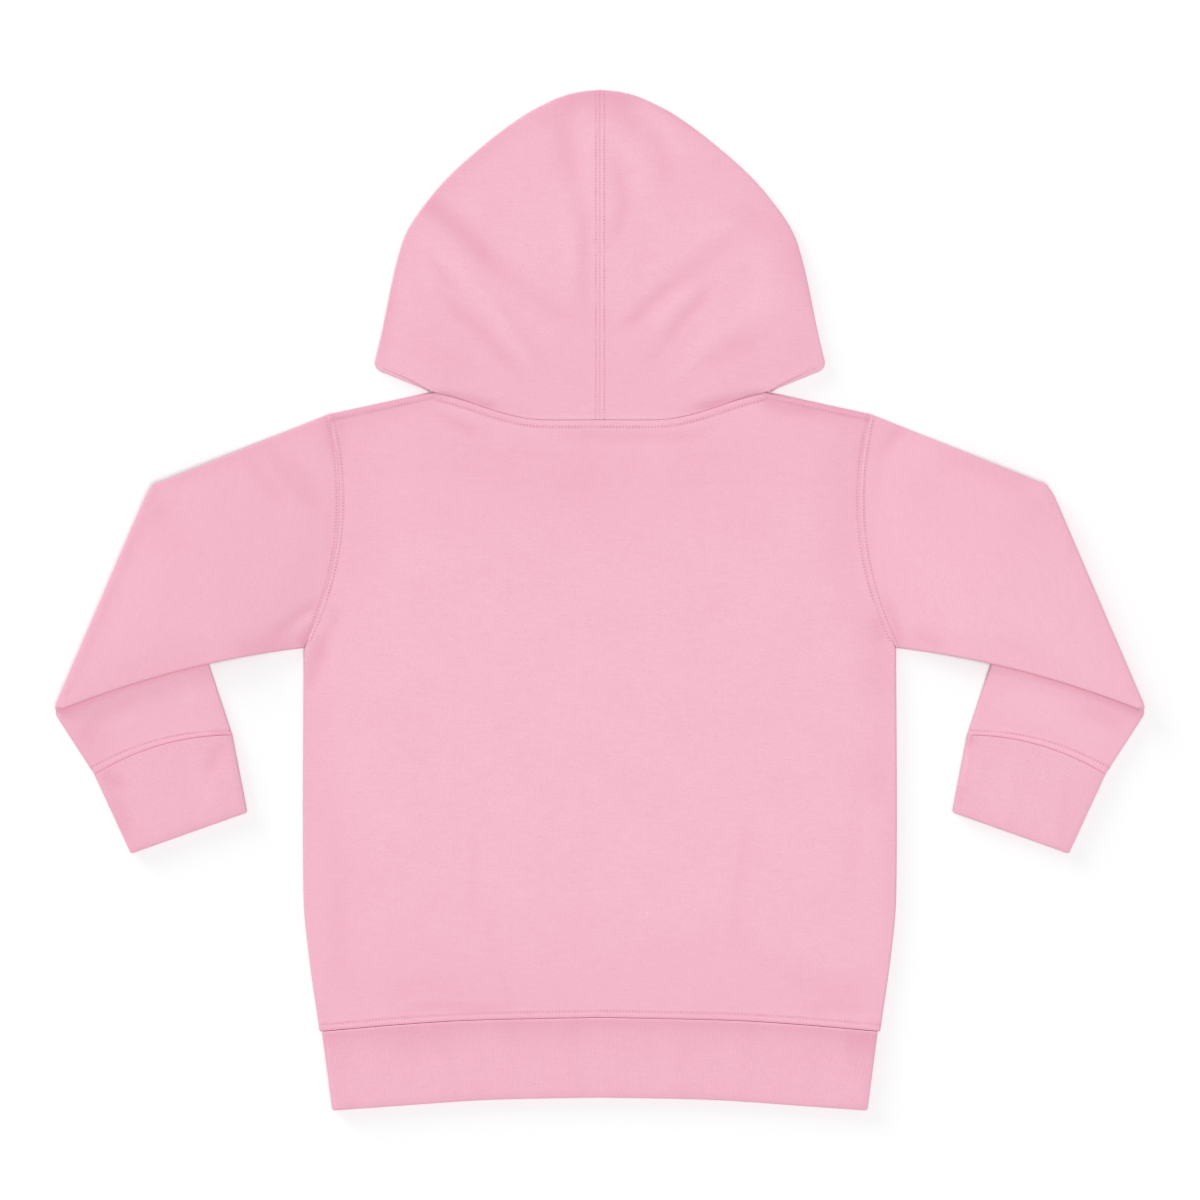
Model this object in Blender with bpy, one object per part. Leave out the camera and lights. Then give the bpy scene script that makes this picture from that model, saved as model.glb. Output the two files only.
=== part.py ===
"""Toddler pullover hoodie, laid flat on its front: hood spread, sleeves folded under at the elbows.

Every cloth piece is a closed wall lofted through sections. All the sizes and tables below are in
millimetres, seen from above: +X is across the garment, +Y towards the hood, +Z up from the surface
it lies on. Tables give the half with X above zero, and the other half mirrors it.
"""

from collections import namedtuple
from math import cos, exp, hypot, pi, sin

import bmesh
import bpy

MM = 0.001  # metres in a millimetre

FLEECE = 1.8  # wall of the body, sleeves and hood
RIB_KNIT = 2.2  # wall of the doubled rib bands
SEAM = 0.3  # gap between sewn pieces
SLIT = 0.4  # air between the two layers of a flattened tube
FOLD_GAP = 0.3  # between the upper sleeve and the forearm under it
SLEEVE_RADIUS = FLEECE + SLIT / 2  # half the height of the flattened sleeve
HOOD_RADIUS = FLEECE + SLIT / 2
BAND_RADIUS = RIB_KNIT + SLIT / 2
FOLD_REACH = 2 * SLEEVE_RADIUS + FOLD_GAP / 2  # from the elbow fold's axis to its outside
RIM = 1.6  # width of a panel's rounded edge
RIM_DROP = 0.8  # how far the rounded edge falls
BODY_LOFT = 1.6  # how far the back stands off the front at mid chest
HOOD_LOFT = 1.5  # the same on the hood
SLEEVE_LOFT = 1.3  # and on the upper sleeve
RIB_PITCH = 1.2  # width of one rib
RIB_HEIGHT = 0.28
BAND_END_ROUND = 0.9  # length of a band's rounded end
BAND_END_DROP = 0.7
FLAT_SHARE = 0.45  # each layer's share of the way round a flattened tube
EDGE_SHARE = 0.05  # and each edge's

# Body
SHOULDER_TIP = (143.6, 98.3)
ARMPIT = (156.9, -25.4)
ARMHOLE_BOW = 12.3  # how far the armhole curves in from the line between its ends
NECK_WIDTH = 88.5  # half the width of the neck
NECK_HEIGHT = 110.2
FRONT_NECK_Y = 66.0  # lowest point of the front neckline
WAIST_SEAM_HALF = 148.4
NECK_COLUMNS = 8  # columns of a body panel across half its neck
FRONT_NECK_POWER = 2.1  # roundness of the front neckline

Row = namedtuple("Row", "along across")
SIDE = (  # along is Y, across is half the body's width
    Row(-228.4, 148.4),
    Row(-190.0, 153.9),
    Row(-157.0, 156.9),
    Row(-25.4, 156.9),
)
BACK_NECK = (  # along is X, across is the neck seam's Y
    Row(0.0, 95.5),
    Row(30.0, 95.5),
    Row(40.0, 96.4),
    Row(55.0, 100.0),
    Row(72.5, 105.8),
    Row(88.5, 110.2),
)
WAIST_SEAM = (
    Row(0.0, -221.0),
    Row(70.0, -222.6),
    Row(105.0, -224.7),
    Row(148.4, -228.4),
)
HEM = (
    Row(0.0, -263.4),
    Row(46.0, -264.2),
    Row(70.0, -265.2),
    Row(105.0, -267.7),
    Row(141.6, -270.3),
)
WAISTBAND_TOP_HALF = 147.1
WAISTBAND_HEM_HALF = 141.6

# Sleeve
ELBOW_TOP = (238.2, 60.1)  # upper end of the fold line
ELBOW_TIP = (289.4, -58.9)  # lower end of the fold line
UNDERARM_BOW = 4.4  # how far the underarm edge rises above the line between its ends
CUFF_SEAM_OUTER = (267.1, -93.3)
CUFF_SEAM_INNER = (194.4, -72.3)
CUFF_SEAM_BOW = 5.3
CUFF_END_OUTER = (248.3, -134.3)
CUFF_END_INNER = (186.8, -112.5)
CLIMB = 18.0  # length over which the upper sleeve climbs onto the forearm
CLIMB_ENDS = 9.0  # distance before the forearm at which the climb is done
ARMHOLE_FADE = 0.7  # share of the upper sleeve over which the armhole's curve fades
FOLD_CLEAR = 0.3  # share of the upper sleeve, at the elbow, over which its loft fades
SLEEVE_COLUMNS = 8

# Hood
Spot = namedtuple("Spot", "x y")
HOOD_SIDE = (  # silhouette from the top down to the lower corner
    Spot(0.15, 270.8),
    Spot(20.0, 267.0),
    Spot(38.0, 258.6),
    Spot(56.2, 245.9),
    Spot(75.8, 229.0),
    Spot(91.4, 212.0),
    Spot(102.0, 195.0),
    Spot(108.4, 178.1),
    Spot(112.1, 161.1),
    Spot(117.1, 135.7),
    Spot(118.9, 126.4),
)
FOLD_FADE = 1 / 6  # share of the upper layer, at the silhouette, over which the folds fade
HOOD_CHEEK = 8  # row of HOOD_SIDE beside which the face opening meets the centre front
HOOD_CORNER = (Spot(119.1, 124.3), Spot(118.2, 122.4), Spot(116.2, 121.1))
HOOD_LOWER_END = Spot(92.5, 111.5)
NECK_END = 87.5  # the hood stops this far out along the neck
UNDER_NECK = (25.0, 48.0, 68.0, 86.8)  # X of the lower layer's points on the front neckline
UNDER_START, UNDER_END = Spot(87.2, 110.2), Spot(88.6, 111.6)  # where it gathers at the shoulder
FACE_OPENING = (  # edge of the face opening, from its top down to the centre front
    Spot(0.15, 236.0),
    Spot(28.0, 229.0),
    Spot(52.0, 207.0),
    Spot(62.0, 172.0),
    Spot(54.0, 132.0),
    Spot(30.0, 92.0),
    Spot(0.15, 66.3),
)

Fold = namedtuple("Fold", "x1 y1 x2 y2 width rise")
HOOD_LEFT_FOLDS = (  # soft troughs and ridges on the upper layer
    Fold(-92.0, 208.0, -27.0, 157.0, 9.0, -0.8),
    Fold(-92.0, 182.0, -38.0, 132.0, 9.0, 0.5),
    Fold(-78.0, 152.0, -52.0, 128.0, 8.0, -0.5),
    Fold(-14.0, 245.0, -7.0, 150.0, 7.0, -0.4),
)
HOOD_RIGHT_FOLDS = (
    Fold(10.0, 255.0, 36.0, 228.0, 8.0, -0.5),
    Fold(84.0, 202.0, 16.0, 148.0, 10.0, -0.7),
    Fold(58.0, 160.0, 24.0, 118.0, 9.0, -0.6),
    Fold(82.0, 180.0, 44.0, 132.0, 9.0, 0.5),
)

SLEEVE_LEFT_FOLDS = (
    Fold(-174.0, 86.0, -150.0, 56.0, 11.0, -0.9),
    Fold(-187.0, 72.0, -177.0, 58.0, 10.0, -0.7),
    Fold(-152.0, 8.0, -173.0, -20.0, 10.0, -0.9),
)
SLEEVE_RIGHT_FOLDS = (
    Fold(152.0, 88.0, 148.0, 72.0, 10.0, -0.7),
    Fold(160.0, 91.0, 163.0, 66.0, 11.0, -0.8),
    Fold(154.0, -7.0, 173.0, -21.0, 10.0, -0.9),
)

PINK = (0.886, 0.479, 0.591, 1.0)
RIB_PINK = (0.864, 0.462, 0.571, 1.0)


def blend(a, b, share):
    """The value or point this share of the way from a to b."""
    if isinstance(a, tuple):
        return tuple(blend(p, q, share) for p, q in zip(a, b))
    return a + (b - a) * share


def ease(share):
    """0 to 1 with level ends."""
    share = min(max(share, 0.0), 1.0)
    return share * share * (3.0 - 2.0 * share)


def catmull(p0, p1, p2, p3, t):
    return 0.5 * (
        2.0 * p1
        + (p2 - p0) * t
        + (2.0 * p0 - 5.0 * p1 + 4.0 * p2 - p3) * t * t
        + (3.0 * p1 - p0 - 3.0 * p2 + p3) * t**3
    )


def smooth_curve(spots, count):
    """count + 1 points, evenly spaced along a smooth curve through the spots."""
    ends = [tuple(2 * a - b for a, b in zip(spots[0], spots[1]))]
    ends += [tuple(spot) for spot in spots]
    ends += [tuple(2 * a - b for a, b in zip(spots[-1], spots[-2]))]
    fine = []
    steps = 24
    for i in range(len(spots) - 1):
        for step in range(steps + (i == len(spots) - 2)):
            four = ends[i : i + 4]
            fine.append(tuple(catmull(*axis, step / steps) for axis in zip(*four)))
    run = [0.0]
    for a, b in zip(fine, fine[1:]):
        run.append(run[-1] + hypot(b[0] - a[0], b[1] - a[1]))
    found = []
    k = 0
    for i in range(count + 1):
        goal = run[-1] * i / count
        while k < len(run) - 2 and run[k + 1] < goal:
            k += 1
        found.append(blend(fine[k], fine[k + 1], (goal - run[k]) / (run[k + 1] - run[k])))
    return found


def read_row(rows, along):
    """The table's across value at this place, smoothly between its rows."""
    along = min(max(along, rows[0].along), rows[-1].along)
    k = 0
    while k < len(rows) - 2 and rows[k + 1].along < along:
        k += 1
    a, b = rows[k], rows[k + 1]
    before, after = rows[max(k - 1, 0)], rows[min(k + 2, len(rows) - 1)]
    width = b.along - a.along
    slope_a = (b.across - before.across) / (b.along - before.along) * width
    slope_b = (after.across - a.across) / (after.along - a.along) * width
    t = (along - a.along) / width
    rise = b.across - a.across
    return a.across + t * (
        slope_a + t * (3.0 * rise - 2.0 * slope_a - slope_b + t * (slope_a + slope_b - 2.0 * rise))
    )


def fold_rise(folds, x, y):
    """How far the folds lift or lower the cloth at this place."""
    rise = 0.0
    for fold in folds:
        dx, dy = fold.x2 - fold.x1, fold.y2 - fold.y1
        share = ((x - fold.x1) * dx + (y - fold.y1) * dy) / (dx * dx + dy * dy)
        share = min(max(share, 0.0), 1.0)
        off = hypot(x - fold.x1 - share * dx, y - fold.y1 - share * dy) / fold.width
        rise += fold.rise * exp(-off * off)
    return rise


# ---------------------------------------------------------------- making solids

def fleece_material(name, colour):
    material = bpy.data.materials.new(name)
    material.use_nodes = True
    shader = material.node_tree.nodes["Principled BSDF"]
    shader.inputs["Base Color"].default_value = colour
    shader.inputs["Roughness"].default_value = 0.9
    shader.inputs["Metallic"].default_value = 0.0
    return material


def finish_piece(name, mesh_in_making, material):
    bmesh.ops.recalc_face_normals(mesh_in_making, faces=mesh_in_making.faces)
    mesh = bpy.data.meshes.new(name)
    mesh_in_making.to_mesh(mesh)
    mesh_in_making.free()
    mesh.shade_smooth()
    mesh.set_sharp_from_angle(angle=pi / 4)
    mesh.materials.append(material)
    piece = bpy.data.objects.new(name, mesh)
    collection.objects.link(piece)
    return piece


def add_points(bm, rows):
    return [[bm.verts.new([c * MM for c in point]) for point in row] for row in rows]


def skin(bm, grid, closed):
    """Quads over a grid of points. A closed grid's last column meets its first."""
    for near, far in zip(grid, grid[1:]):
        for i in range(len(near) - (not closed)):
            j = (i + 1) % len(near)
            bm.faces.new((near[i], near[j], far[j], far[i]))


def panel_wall(name, outer, inner, material):
    """A closed wall between two equal open grids of points."""
    bm = bmesh.new()
    a, b = add_points(bm, outer), add_points(bm, inner)
    skin(bm, a, False)
    skin(bm, b, False)
    edges = [(a[0], b[0]), (a[-1], b[-1])]
    edges += [([row[k] for row in a], [row[k] for row in b]) for k in (0, -1)]
    for rim in edges:
        skin(bm, rim, False)
    return finish_piece(name, bm, material)


def zip_rings(bm, one, two):
    """Triangles between two rings of (share of the way round, point), sorted by share."""
    i, j = 0, 0
    while i < len(one) or j < len(two):
        here, there = one[i % len(one)][1], two[j % len(two)][1]
        next_one = one[i + 1][0] if i + 1 < len(one) else 1.0
        next_two = two[j + 1][0] if j + 1 < len(two) else 1.0
        if j == len(two) or (i < len(one) and next_one <= next_two):
            i += 1
            bm.faces.new((here, one[i % len(one)][1], there))
        else:
            j += 1
            bm.faces.new((here, two[j % len(two)][1], there))


def tube_wall(name, outer, outer_shares, inner, inner_shares, material):
    """A closed wall between an outer and an inner tube, each a list of rings."""
    bm = bmesh.new()
    a, b = add_points(bm, outer), add_points(bm, inner)
    skin(bm, a, True)
    skin(bm, b, True)
    for end in (0, -1):
        zip_rings(bm, list(zip(outer_shares, a[end])), list(zip(inner_shares, b[end])))
    return finish_piece(name, bm, material)


# ---------------------------------------------------------------- flattened tubes

def flat_ring(top_columns, bottom_columns, edge_steps):
    """One ring of a flattened tube, as (share of the way round, across, side, turn) for each point.

    across runs from 0 at the near edge to 1 at the far one, side is +1 on the upper layer and -1
    on the lower one, and turn is the angle round an edge.
    """
    half_round = FLAT_SHARE + EDGE_SHARE
    ring = []
    for i in range(top_columns):
        ring.append((FLAT_SHARE * i / top_columns, i / top_columns, 1, 0.0))
    for i in range(edge_steps):
        way = FLAT_SHARE + EDGE_SHARE * i / edge_steps
        ring.append((way, 1.0, 0, pi / 2 - pi * i / edge_steps))
    for i in range(bottom_columns):
        way = half_round + FLAT_SHARE * i / bottom_columns
        ring.append((way, 1 - i / bottom_columns, -1, 0.0))
    for i in range(edge_steps):
        way = half_round + FLAT_SHARE + EDGE_SHARE * i / edge_steps
        ring.append((way, 0.0, 0, -pi / 2 - pi * i / edge_steps))
    return ring


def ring_place(row, radius, length):
    """(distance along the slice, height over the ring's middle) of a ring's point."""
    _, across, side, turn = row
    flat = radius + across * (length - 2 * radius)
    if side:
        return flat, side * radius
    return flat + radius * cos(turn), radius * sin(turn)


def slice_point(start, end, bow, distance):
    """A plan point on a slice from start to end that bows sideways by bow at its middle."""
    length = hypot(end[0] - start[0], end[1] - start[1])
    share = distance / length
    ux, uy = (end[0] - start[0]) / length, (end[1] - start[1]) / length
    x, y = blend(tuple(start), tuple(end), share)
    aside = bow * 4.0 * share * (1.0 - share)
    return x - uy * aside, y + ux * aside


# ---------------------------------------------------------------- body

def armhole_point(share, outward):
    """A point on the armhole seam, from the armpit to the shoulder, moved outward by this much."""
    start = (ARMPIT[0] + outward, ARMPIT[1])
    end = (SHOULDER_TIP[0] + outward, SHOULDER_TIP[1])
    length = hypot(end[0] - start[0], end[1] - start[1])
    return slice_point(start, end, ARMHOLE_BOW, share * length)


def body_edges(side_rows, armhole_rows):
    """Points up the body's edge: the side seam, then the armhole."""
    low, high = SIDE[0].along, ARMPIT[1]
    heights = [blend(low, high, i / side_rows) for i in range(side_rows)]
    edge = [(read_row(SIDE, y), y) for y in [low, low + RIM] + heights[1:]]
    edge += [armhole_point(i / armhole_rows, 0.0) for i in range(armhole_rows)]
    near_top = armhole_point(1.0 - RIM / (SHOULDER_TIP[1] - ARMPIT[1]), 0.0)
    return edge + [near_top, armhole_point(1.0, 0.0)]


def back_neck_y(x):
    return read_row(BACK_NECK, x)


def front_neck_y(x):
    share = min(x / NECK_WIDTH, 1.0)
    return FRONT_NECK_Y + (NECK_HEIGHT - FRONT_NECK_Y) * share**FRONT_NECK_POWER


def sewn_neck_y(neck_y, x):
    """The neckline as the panel's own columns cut it, which the hood's edge follows."""
    place = min(max(x, 0.0), NECK_WIDTH - SEAM) / NECK_WIDTH * NECK_COLUMNS
    column = int(place)
    near, far = (neck_y(k * NECK_WIDTH / NECK_COLUMNS) for k in (column, column + 1))
    return blend(near, far, place - column) + SEAM


def top_edge_y(x, neck_y):
    """The upper edge of a body panel: neckline, then shoulder."""
    if x < NECK_WIDTH:
        return neck_y(x) - SEAM / 2
    share = (x - NECK_WIDTH) / (SHOULDER_TIP[0] - NECK_WIDTH)
    return blend(NECK_HEIGHT, SHOULDER_TIP[1], share)


def spaced(start, end, count):
    return [blend(start, end, i / count) for i in range(count)]


def body_panel(name, neck_y, bottom, loft, shoulder_columns, rows):
    """A panel from the waist seam to the neck and shoulders, with a rounded upper rim."""
    neck_share = NECK_WIDTH / SHOULDER_TIP[0]
    half = spaced(0.0, neck_share, NECK_COLUMNS) + spaced(neck_share, 1.0, shoulder_columns) + [1.0]
    across = [-u for u in half[:0:-1]] + half
    rim_share = RIM / ARMPIT[0]
    across = [across[0], across[0] + rim_share] + across[1:-1] + [across[-1] - rim_share, across[-1]]
    edges = body_edges(*rows)
    side_bottom, side_top = SIDE[0].along, SHOULDER_TIP[1]
    upper, lower = [], []
    for k, (edge_x, edge_y) in enumerate(edges):
        share = (edge_y - side_bottom) / (side_top - side_bottom)
        upper_row, lower_row = [], []
        for i, u in enumerate(across):
            low = read_row(WAIST_SEAM, abs(u) * WAIST_SEAM_HALF) + SEAM / 2
            high = top_edge_y(abs(u) * SHOULDER_TIP[0], neck_y)
            rim = i in (0, len(across) - 1) or k in (0, len(edges) - 1)
            z = bottom + loft * (1.0 - u**4) * (1.0 - (2.0 * share - 1.0) ** 6)
            place = (u * edge_x, blend(low, high, share))
            upper_row.append((*place, z + FLEECE - (RIM_DROP if rim else 0.0)))
            lower_row.append((*place, z))
        upper.append(upper_row)
        lower.append(lower_row)
    return panel_wall(name, upper, lower, pink)


# ---------------------------------------------------------------- sleeve

def fold_way_out():
    """The level direction square to the fold line, away from the body."""
    dx, dy = ELBOW_TOP[0] - ELBOW_TIP[0], ELBOW_TOP[1] - ELBOW_TIP[1]
    length = hypot(dx, dy)
    return dy / length, -dx / length


def beside_fold(corner, edge_end):
    """The place on the edge from a corner of the fold to edge_end that lies over the fold's axis."""
    out = fold_way_out()
    dx, dy = edge_end[0] - corner[0], edge_end[1] - corner[1]
    return blend(corner, edge_end, FOLD_REACH / -(dx * out[0] + dy * out[1]))


def climb(x, y):
    """How high the upper sleeve's underside stands: level with the surface, then over the forearm."""
    dx, dy = CUFF_SEAM_INNER[0] - ELBOW_TOP[0], CUFF_SEAM_INNER[1] - ELBOW_TOP[1]
    length = hypot(dx, dy)
    inside = -((x - ELBOW_TOP[0]) * dy - (y - ELBOW_TOP[1]) * dx) / length
    height = 2 * SLEEVE_RADIUS + FOLD_GAP
    return height * ease((inside + CLIMB_ENDS + CLIMB) / CLIMB)


def sleeve_rings(ring, radius, upper_steps, fold_steps, lower_steps, folds, side):
    """Rings from the armhole out to the fold, round it, and back under to the cuff seam."""
    armhole_start, armhole_end = armhole_point(0.0, SEAM), armhole_point(1.0, SEAM)
    fold_start, fold_end = beside_fold(ELBOW_TIP, armhole_start), beside_fold(ELBOW_TOP, armhole_end)
    under_start = beside_fold(ELBOW_TIP, CUFF_SEAM_OUTER)
    under_end = beside_fold(ELBOW_TOP, CUFF_SEAM_INNER)
    rings = []
    for step in range(upper_steps + 1):
        share = step / upper_steps
        start = blend(armhole_start, fold_start, share)
        start = (start[0], start[1] + UNDERARM_BOW * 4 * share * (1 - share))
        end = blend(armhole_end, fold_end, share)
        bow = ARMHOLE_BOW * (1 - ease(share / ARMHOLE_FADE))
        points = lying_ring(ring, radius, start, end, bow)
        fade = ease((1 - share) / FOLD_CLEAR)
        for i, row in enumerate(ring):
            if row[2] == 1:
                x, y, z = points[i]
                lift = SLEEVE_LOFT * 4 * row[1] * (1 - row[1])
                lift += fold_rise(folds, side * x, y) * ease(row[1] / FOLD_FADE)
                points[i] = (x, y, z + max(lift, 0.0) * fade)
        rings.append(points)
    for step in range(1, fold_steps):
        share = step / fold_steps
        start, end = blend(fold_start, under_start, share), blend(fold_end, under_end, share)
        rings.append(turned_ring(ring, radius, start, end, 0.0, pi * share))
    for step in range(lower_steps + 1):
        share = step / lower_steps
        start = blend(under_start, CUFF_SEAM_OUTER, share)
        end = blend(under_end, CUFF_SEAM_INNER, share)
        rings.append(turned_ring(ring, radius, start, end, -CUFF_SEAM_BOW * ease(share), pi))
    return rings


def slice_of_ring(ring, radius, start, end, bow):
    """(plan x, plan y, height) of a ring's points, its middle at the height of the radius."""
    length = hypot(end[0] - start[0], end[1] - start[1])
    inset = SLEEVE_RADIUS - radius
    points = []
    for row in ring:
        along, height = ring_place(row, radius, length - 2 * inset)
        points.append((*slice_point(start, end, bow, along + inset), SLEEVE_RADIUS + height))
    return points


def lying_ring(ring, radius, start, end, bow):
    """A ring that lies on the surface and climbs onto the forearm."""
    flat = slice_of_ring(ring, radius, start, end, bow)
    return [(x, y, climb(x, y) + height) for x, y, height in flat]


def turned_ring(ring, radius, start, end, bow, turn):
    """A ring turned about the fold's axis."""
    out = fold_way_out()
    points = []
    for x, y, height in slice_of_ring(ring, radius, start, end, bow):
        reach = height + FOLD_GAP / 2
        away = reach * sin(turn)
        points.append((x + out[0] * away, y + out[1] * away, FOLD_REACH + reach * cos(turn)))
    return points


def sleeve(name, side, folds):
    ring = flat_ring(SLEEVE_COLUMNS, SLEEVE_COLUMNS, 4)
    outer = sleeve_rings(ring, SLEEVE_RADIUS, 10, 6, 6, folds, side)
    inner = sleeve_rings(ring, SLIT / 2, 10, 6, 6, folds, side)
    outer, inner = mirrored(outer, side), mirrored(inner, side)
    shares = [row[0] for row in ring]
    return tube_wall(name, outer, shares, inner, shares, pink)


def mirrored(rows, side):
    return [[(side * x, y, z) for x, y, z in row] for row in rows]


# ---------------------------------------------------------------- rib bands

def band(name, top_line, end_line, ribs, material):
    """A doubled rib tube lying flat, ribbed on its upper layer.

    top_line and end_line each give the plan point at a share of the way across the band.
    """
    ring = flat_ring(2 * ribs, 10, 4)
    plain = flat_ring(10, 10, 2)
    top, end = top_line(0.5), end_line(0.5)
    near_end = 1.0 - BAND_END_ROUND / hypot(end[0] - top[0], end[1] - top[1])
    outer, inner = [], []
    for share, drop in ((0.0, 0.0), (near_end, 0.0), (1.0, BAND_END_DROP)):
        outer.append(band_ring(ring, BAND_RADIUS, top_line, end_line, share, drop, True))
        inner.append(band_ring(plain, SLIT / 2, top_line, end_line, share, 0.0, False))
    outer_shares = [row[0] for row in ring]
    inner_shares = [row[0] for row in plain]
    return tube_wall(name, outer, outer_shares, inner, inner_shares, material)


def band_ring(ring, radius, top_line, end_line, share, drop, ribbed):
    inset = BAND_RADIUS - radius
    points = []
    near = blend(top_line(0.0), end_line(0.0), share)
    far = blend(top_line(1.0), end_line(1.0), share)
    length = hypot(far[0] - near[0], far[1] - near[1])
    for i, row in enumerate(ring):
        along, height = ring_place(row, radius, length - 2 * inset)
        across = (along + inset) / length
        x, y = blend(top_line(across), end_line(across), share)
        if row[2] == 1:
            height -= drop
            if ribbed and i % 2:
                height += RIB_HEIGHT
        points.append((x, y, BAND_RADIUS + height))
    return points


def waist_top(share):
    x = blend(-WAISTBAND_TOP_HALF, WAISTBAND_TOP_HALF, share)
    return x, read_row(WAIST_SEAM, abs(x) * WAIST_SEAM_HALF / WAISTBAND_TOP_HALF) - SEAM / 2


def waist_hem(share):
    x = blend(-WAISTBAND_HEM_HALF, WAISTBAND_HEM_HALF, share)
    return x, read_row(HEM, abs(x))


def cuff_lines(side):
    """The cuff's seam line and its end line, each from the outer edge to the inner one."""

    def seam(share):
        length = hypot(CUFF_SEAM_INNER[0] - CUFF_SEAM_OUTER[0], CUFF_SEAM_INNER[1] - CUFF_SEAM_OUTER[1])
        x, y = slice_point(CUFF_SEAM_OUTER, CUFF_SEAM_INNER, -CUFF_SEAM_BOW, share * length)
        return side * x, y - SEAM

    def end(share):
        x, y = blend(CUFF_END_OUTER, CUFF_END_INNER, share)
        return side * x, y

    return seam, end


# ---------------------------------------------------------------- hood

def hood_lines(side_steps, lower_steps):
    """The hood's lines, station by station: neck seam, silhouette, and the edge of the lower layer."""
    cheek = smooth_curve(HOOD_SIDE[HOOD_CHEEK:], len(UNDER_NECK) + 1)
    silhouette = smooth_curve(HOOD_SIDE[: HOOD_CHEEK + 1], side_steps) + cheek[1:]
    under = smooth_curve(FACE_OPENING, side_steps)
    under += [(x, sewn_neck_y(front_neck_y, x)) for x in UNDER_NECK]
    silhouette += [tuple(spot) for spot in HOOD_CORNER]
    for i in range(1, lower_steps + 1):
        silhouette.append(blend(tuple(HOOD_CORNER[-1]), tuple(HOOD_LOWER_END), i / lower_steps))
    gathered = len(silhouette) - len(under)
    for i in range(gathered):
        under.append(blend(tuple(UNDER_START), tuple(UNDER_END), i / (gathered - 1)))
    neck = []
    for i in range(len(silhouette)):
        x = max(NECK_END * i / (len(silhouette) - 1), SEAM / 2)
        neck.append((x, sewn_neck_y(back_neck_y, x)))
    return neck, silhouette, under


def inset_points(line, distance):
    """The points of a line moved in, square to it."""
    moved = []
    for i, (x, y) in enumerate(line):
        before, after = line[max(i - 1, 0)], line[min(i + 1, len(line) - 1)]
        dx, dy = after[0] - before[0], after[1] - before[1]
        length = hypot(dx, dy)
        if i == 0:
            dx, dy, length = 1.0, 0.0, 1.0
        moved.append((x + dy / length * distance, y - dx / length * distance))
    return moved


def hood_half(name, side, folds):
    """One half of the hood: up from the neck seam, round the silhouette, back to the face opening."""
    upper_steps, turn_steps, under_steps = 9, 4, 4
    neck, silhouette, under = hood_lines(12, 4)
    fold_line = inset_points(silhouette, HOOD_RADIUS)
    outer, inner = [], []
    for start, turn_at, tip, end in zip(neck, fold_line, silhouette, under):
        out = ((tip[0] - turn_at[0]) / HOOD_RADIUS, (tip[1] - turn_at[1]) / HOOD_RADIUS)
        rows = ([], [])
        for i in range(upper_steps):
            share = i / upper_steps
            x, y = blend(start, turn_at, share)
            lift = HOOD_LOFT * 4 * share * (1 - share)
            lift += fold_rise(folds, side * x, y) * ease((1 - share) / FOLD_FADE)
            for row, thickness in zip(rows, (0.0, FLEECE)):
                row.append((side * x, y, 2 * HOOD_RADIUS + lift - thickness))
        for i in range(turn_steps + 1):
            turn = pi * i / turn_steps
            for row, radius in zip(rows, (HOOD_RADIUS, SLIT / 2)):
                x = turn_at[0] + out[0] * radius * sin(turn)
                y = turn_at[1] + out[1] * radius * sin(turn)
                row.append((side * x, y, HOOD_RADIUS + radius * cos(turn)))
        for i in range(1, under_steps + 1):
            x, y = blend(turn_at, end, i / under_steps)
            for row, height in zip(rows, (0.0, FLEECE)):
                row.append((side * x, y, height))
        outer.append(rows[0])
        inner.append(rows[1])
    return panel_wall(name, outer, inner, pink)


# ---------------------------------------------------------------- the garment

for leftover in list(bpy.data.objects):
    bpy.data.objects.remove(leftover, do_unlink=True)
collection = bpy.data.collections.new("toddler_hoodie")
bpy.context.scene.collection.children.link(collection)
pink = fleece_material("pink_fleece", PINK)
rib_pink = fleece_material("pink_rib", RIB_PINK)

body_panel("front_panel", front_neck_y, 0.0, 0.0, 2, (5, 8))
body_panel("back_panel", back_neck_y, FLEECE + SEAM, BODY_LOFT, 3, (8, 8))
for side_name, side in (("left", -1), ("right", 1)):
    sleeve("sleeve_" + side_name, side, SLEEVE_LEFT_FOLDS if side < 0 else SLEEVE_RIGHT_FOLDS)
    cuff_seam, cuff_end = cuff_lines(side)
    cuff_width = hypot(CUFF_END_INNER[0] - CUFF_END_OUTER[0], CUFF_END_INNER[1] - CUFF_END_OUTER[1])
    band("cuff_" + side_name, cuff_seam, cuff_end, round(cuff_width / RIB_PITCH), rib_pink)
    hood_half("hood_" + side_name, side, HOOD_LEFT_FOLDS if side < 0 else HOOD_RIGHT_FOLDS)
band("waistband", waist_top, waist_hem, round(2 * WAISTBAND_TOP_HALF / RIB_PITCH), rib_pink)
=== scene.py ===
"""A toddler's pullover hoodie, laid flat on its front, with its sleeves folded under at the elbows.

The sections follow the sewing: front, back, sleeves, cuffs, waistband and hood, each with its own
seams and stitching, and then the table, the lamps and the camera. Sizes are in millimetres, seen
from above: +X is to the right, +Y towards the hood and +Z up from the table.
"""

from collections import namedtuple
from math import hypot, pi, radians

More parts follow.
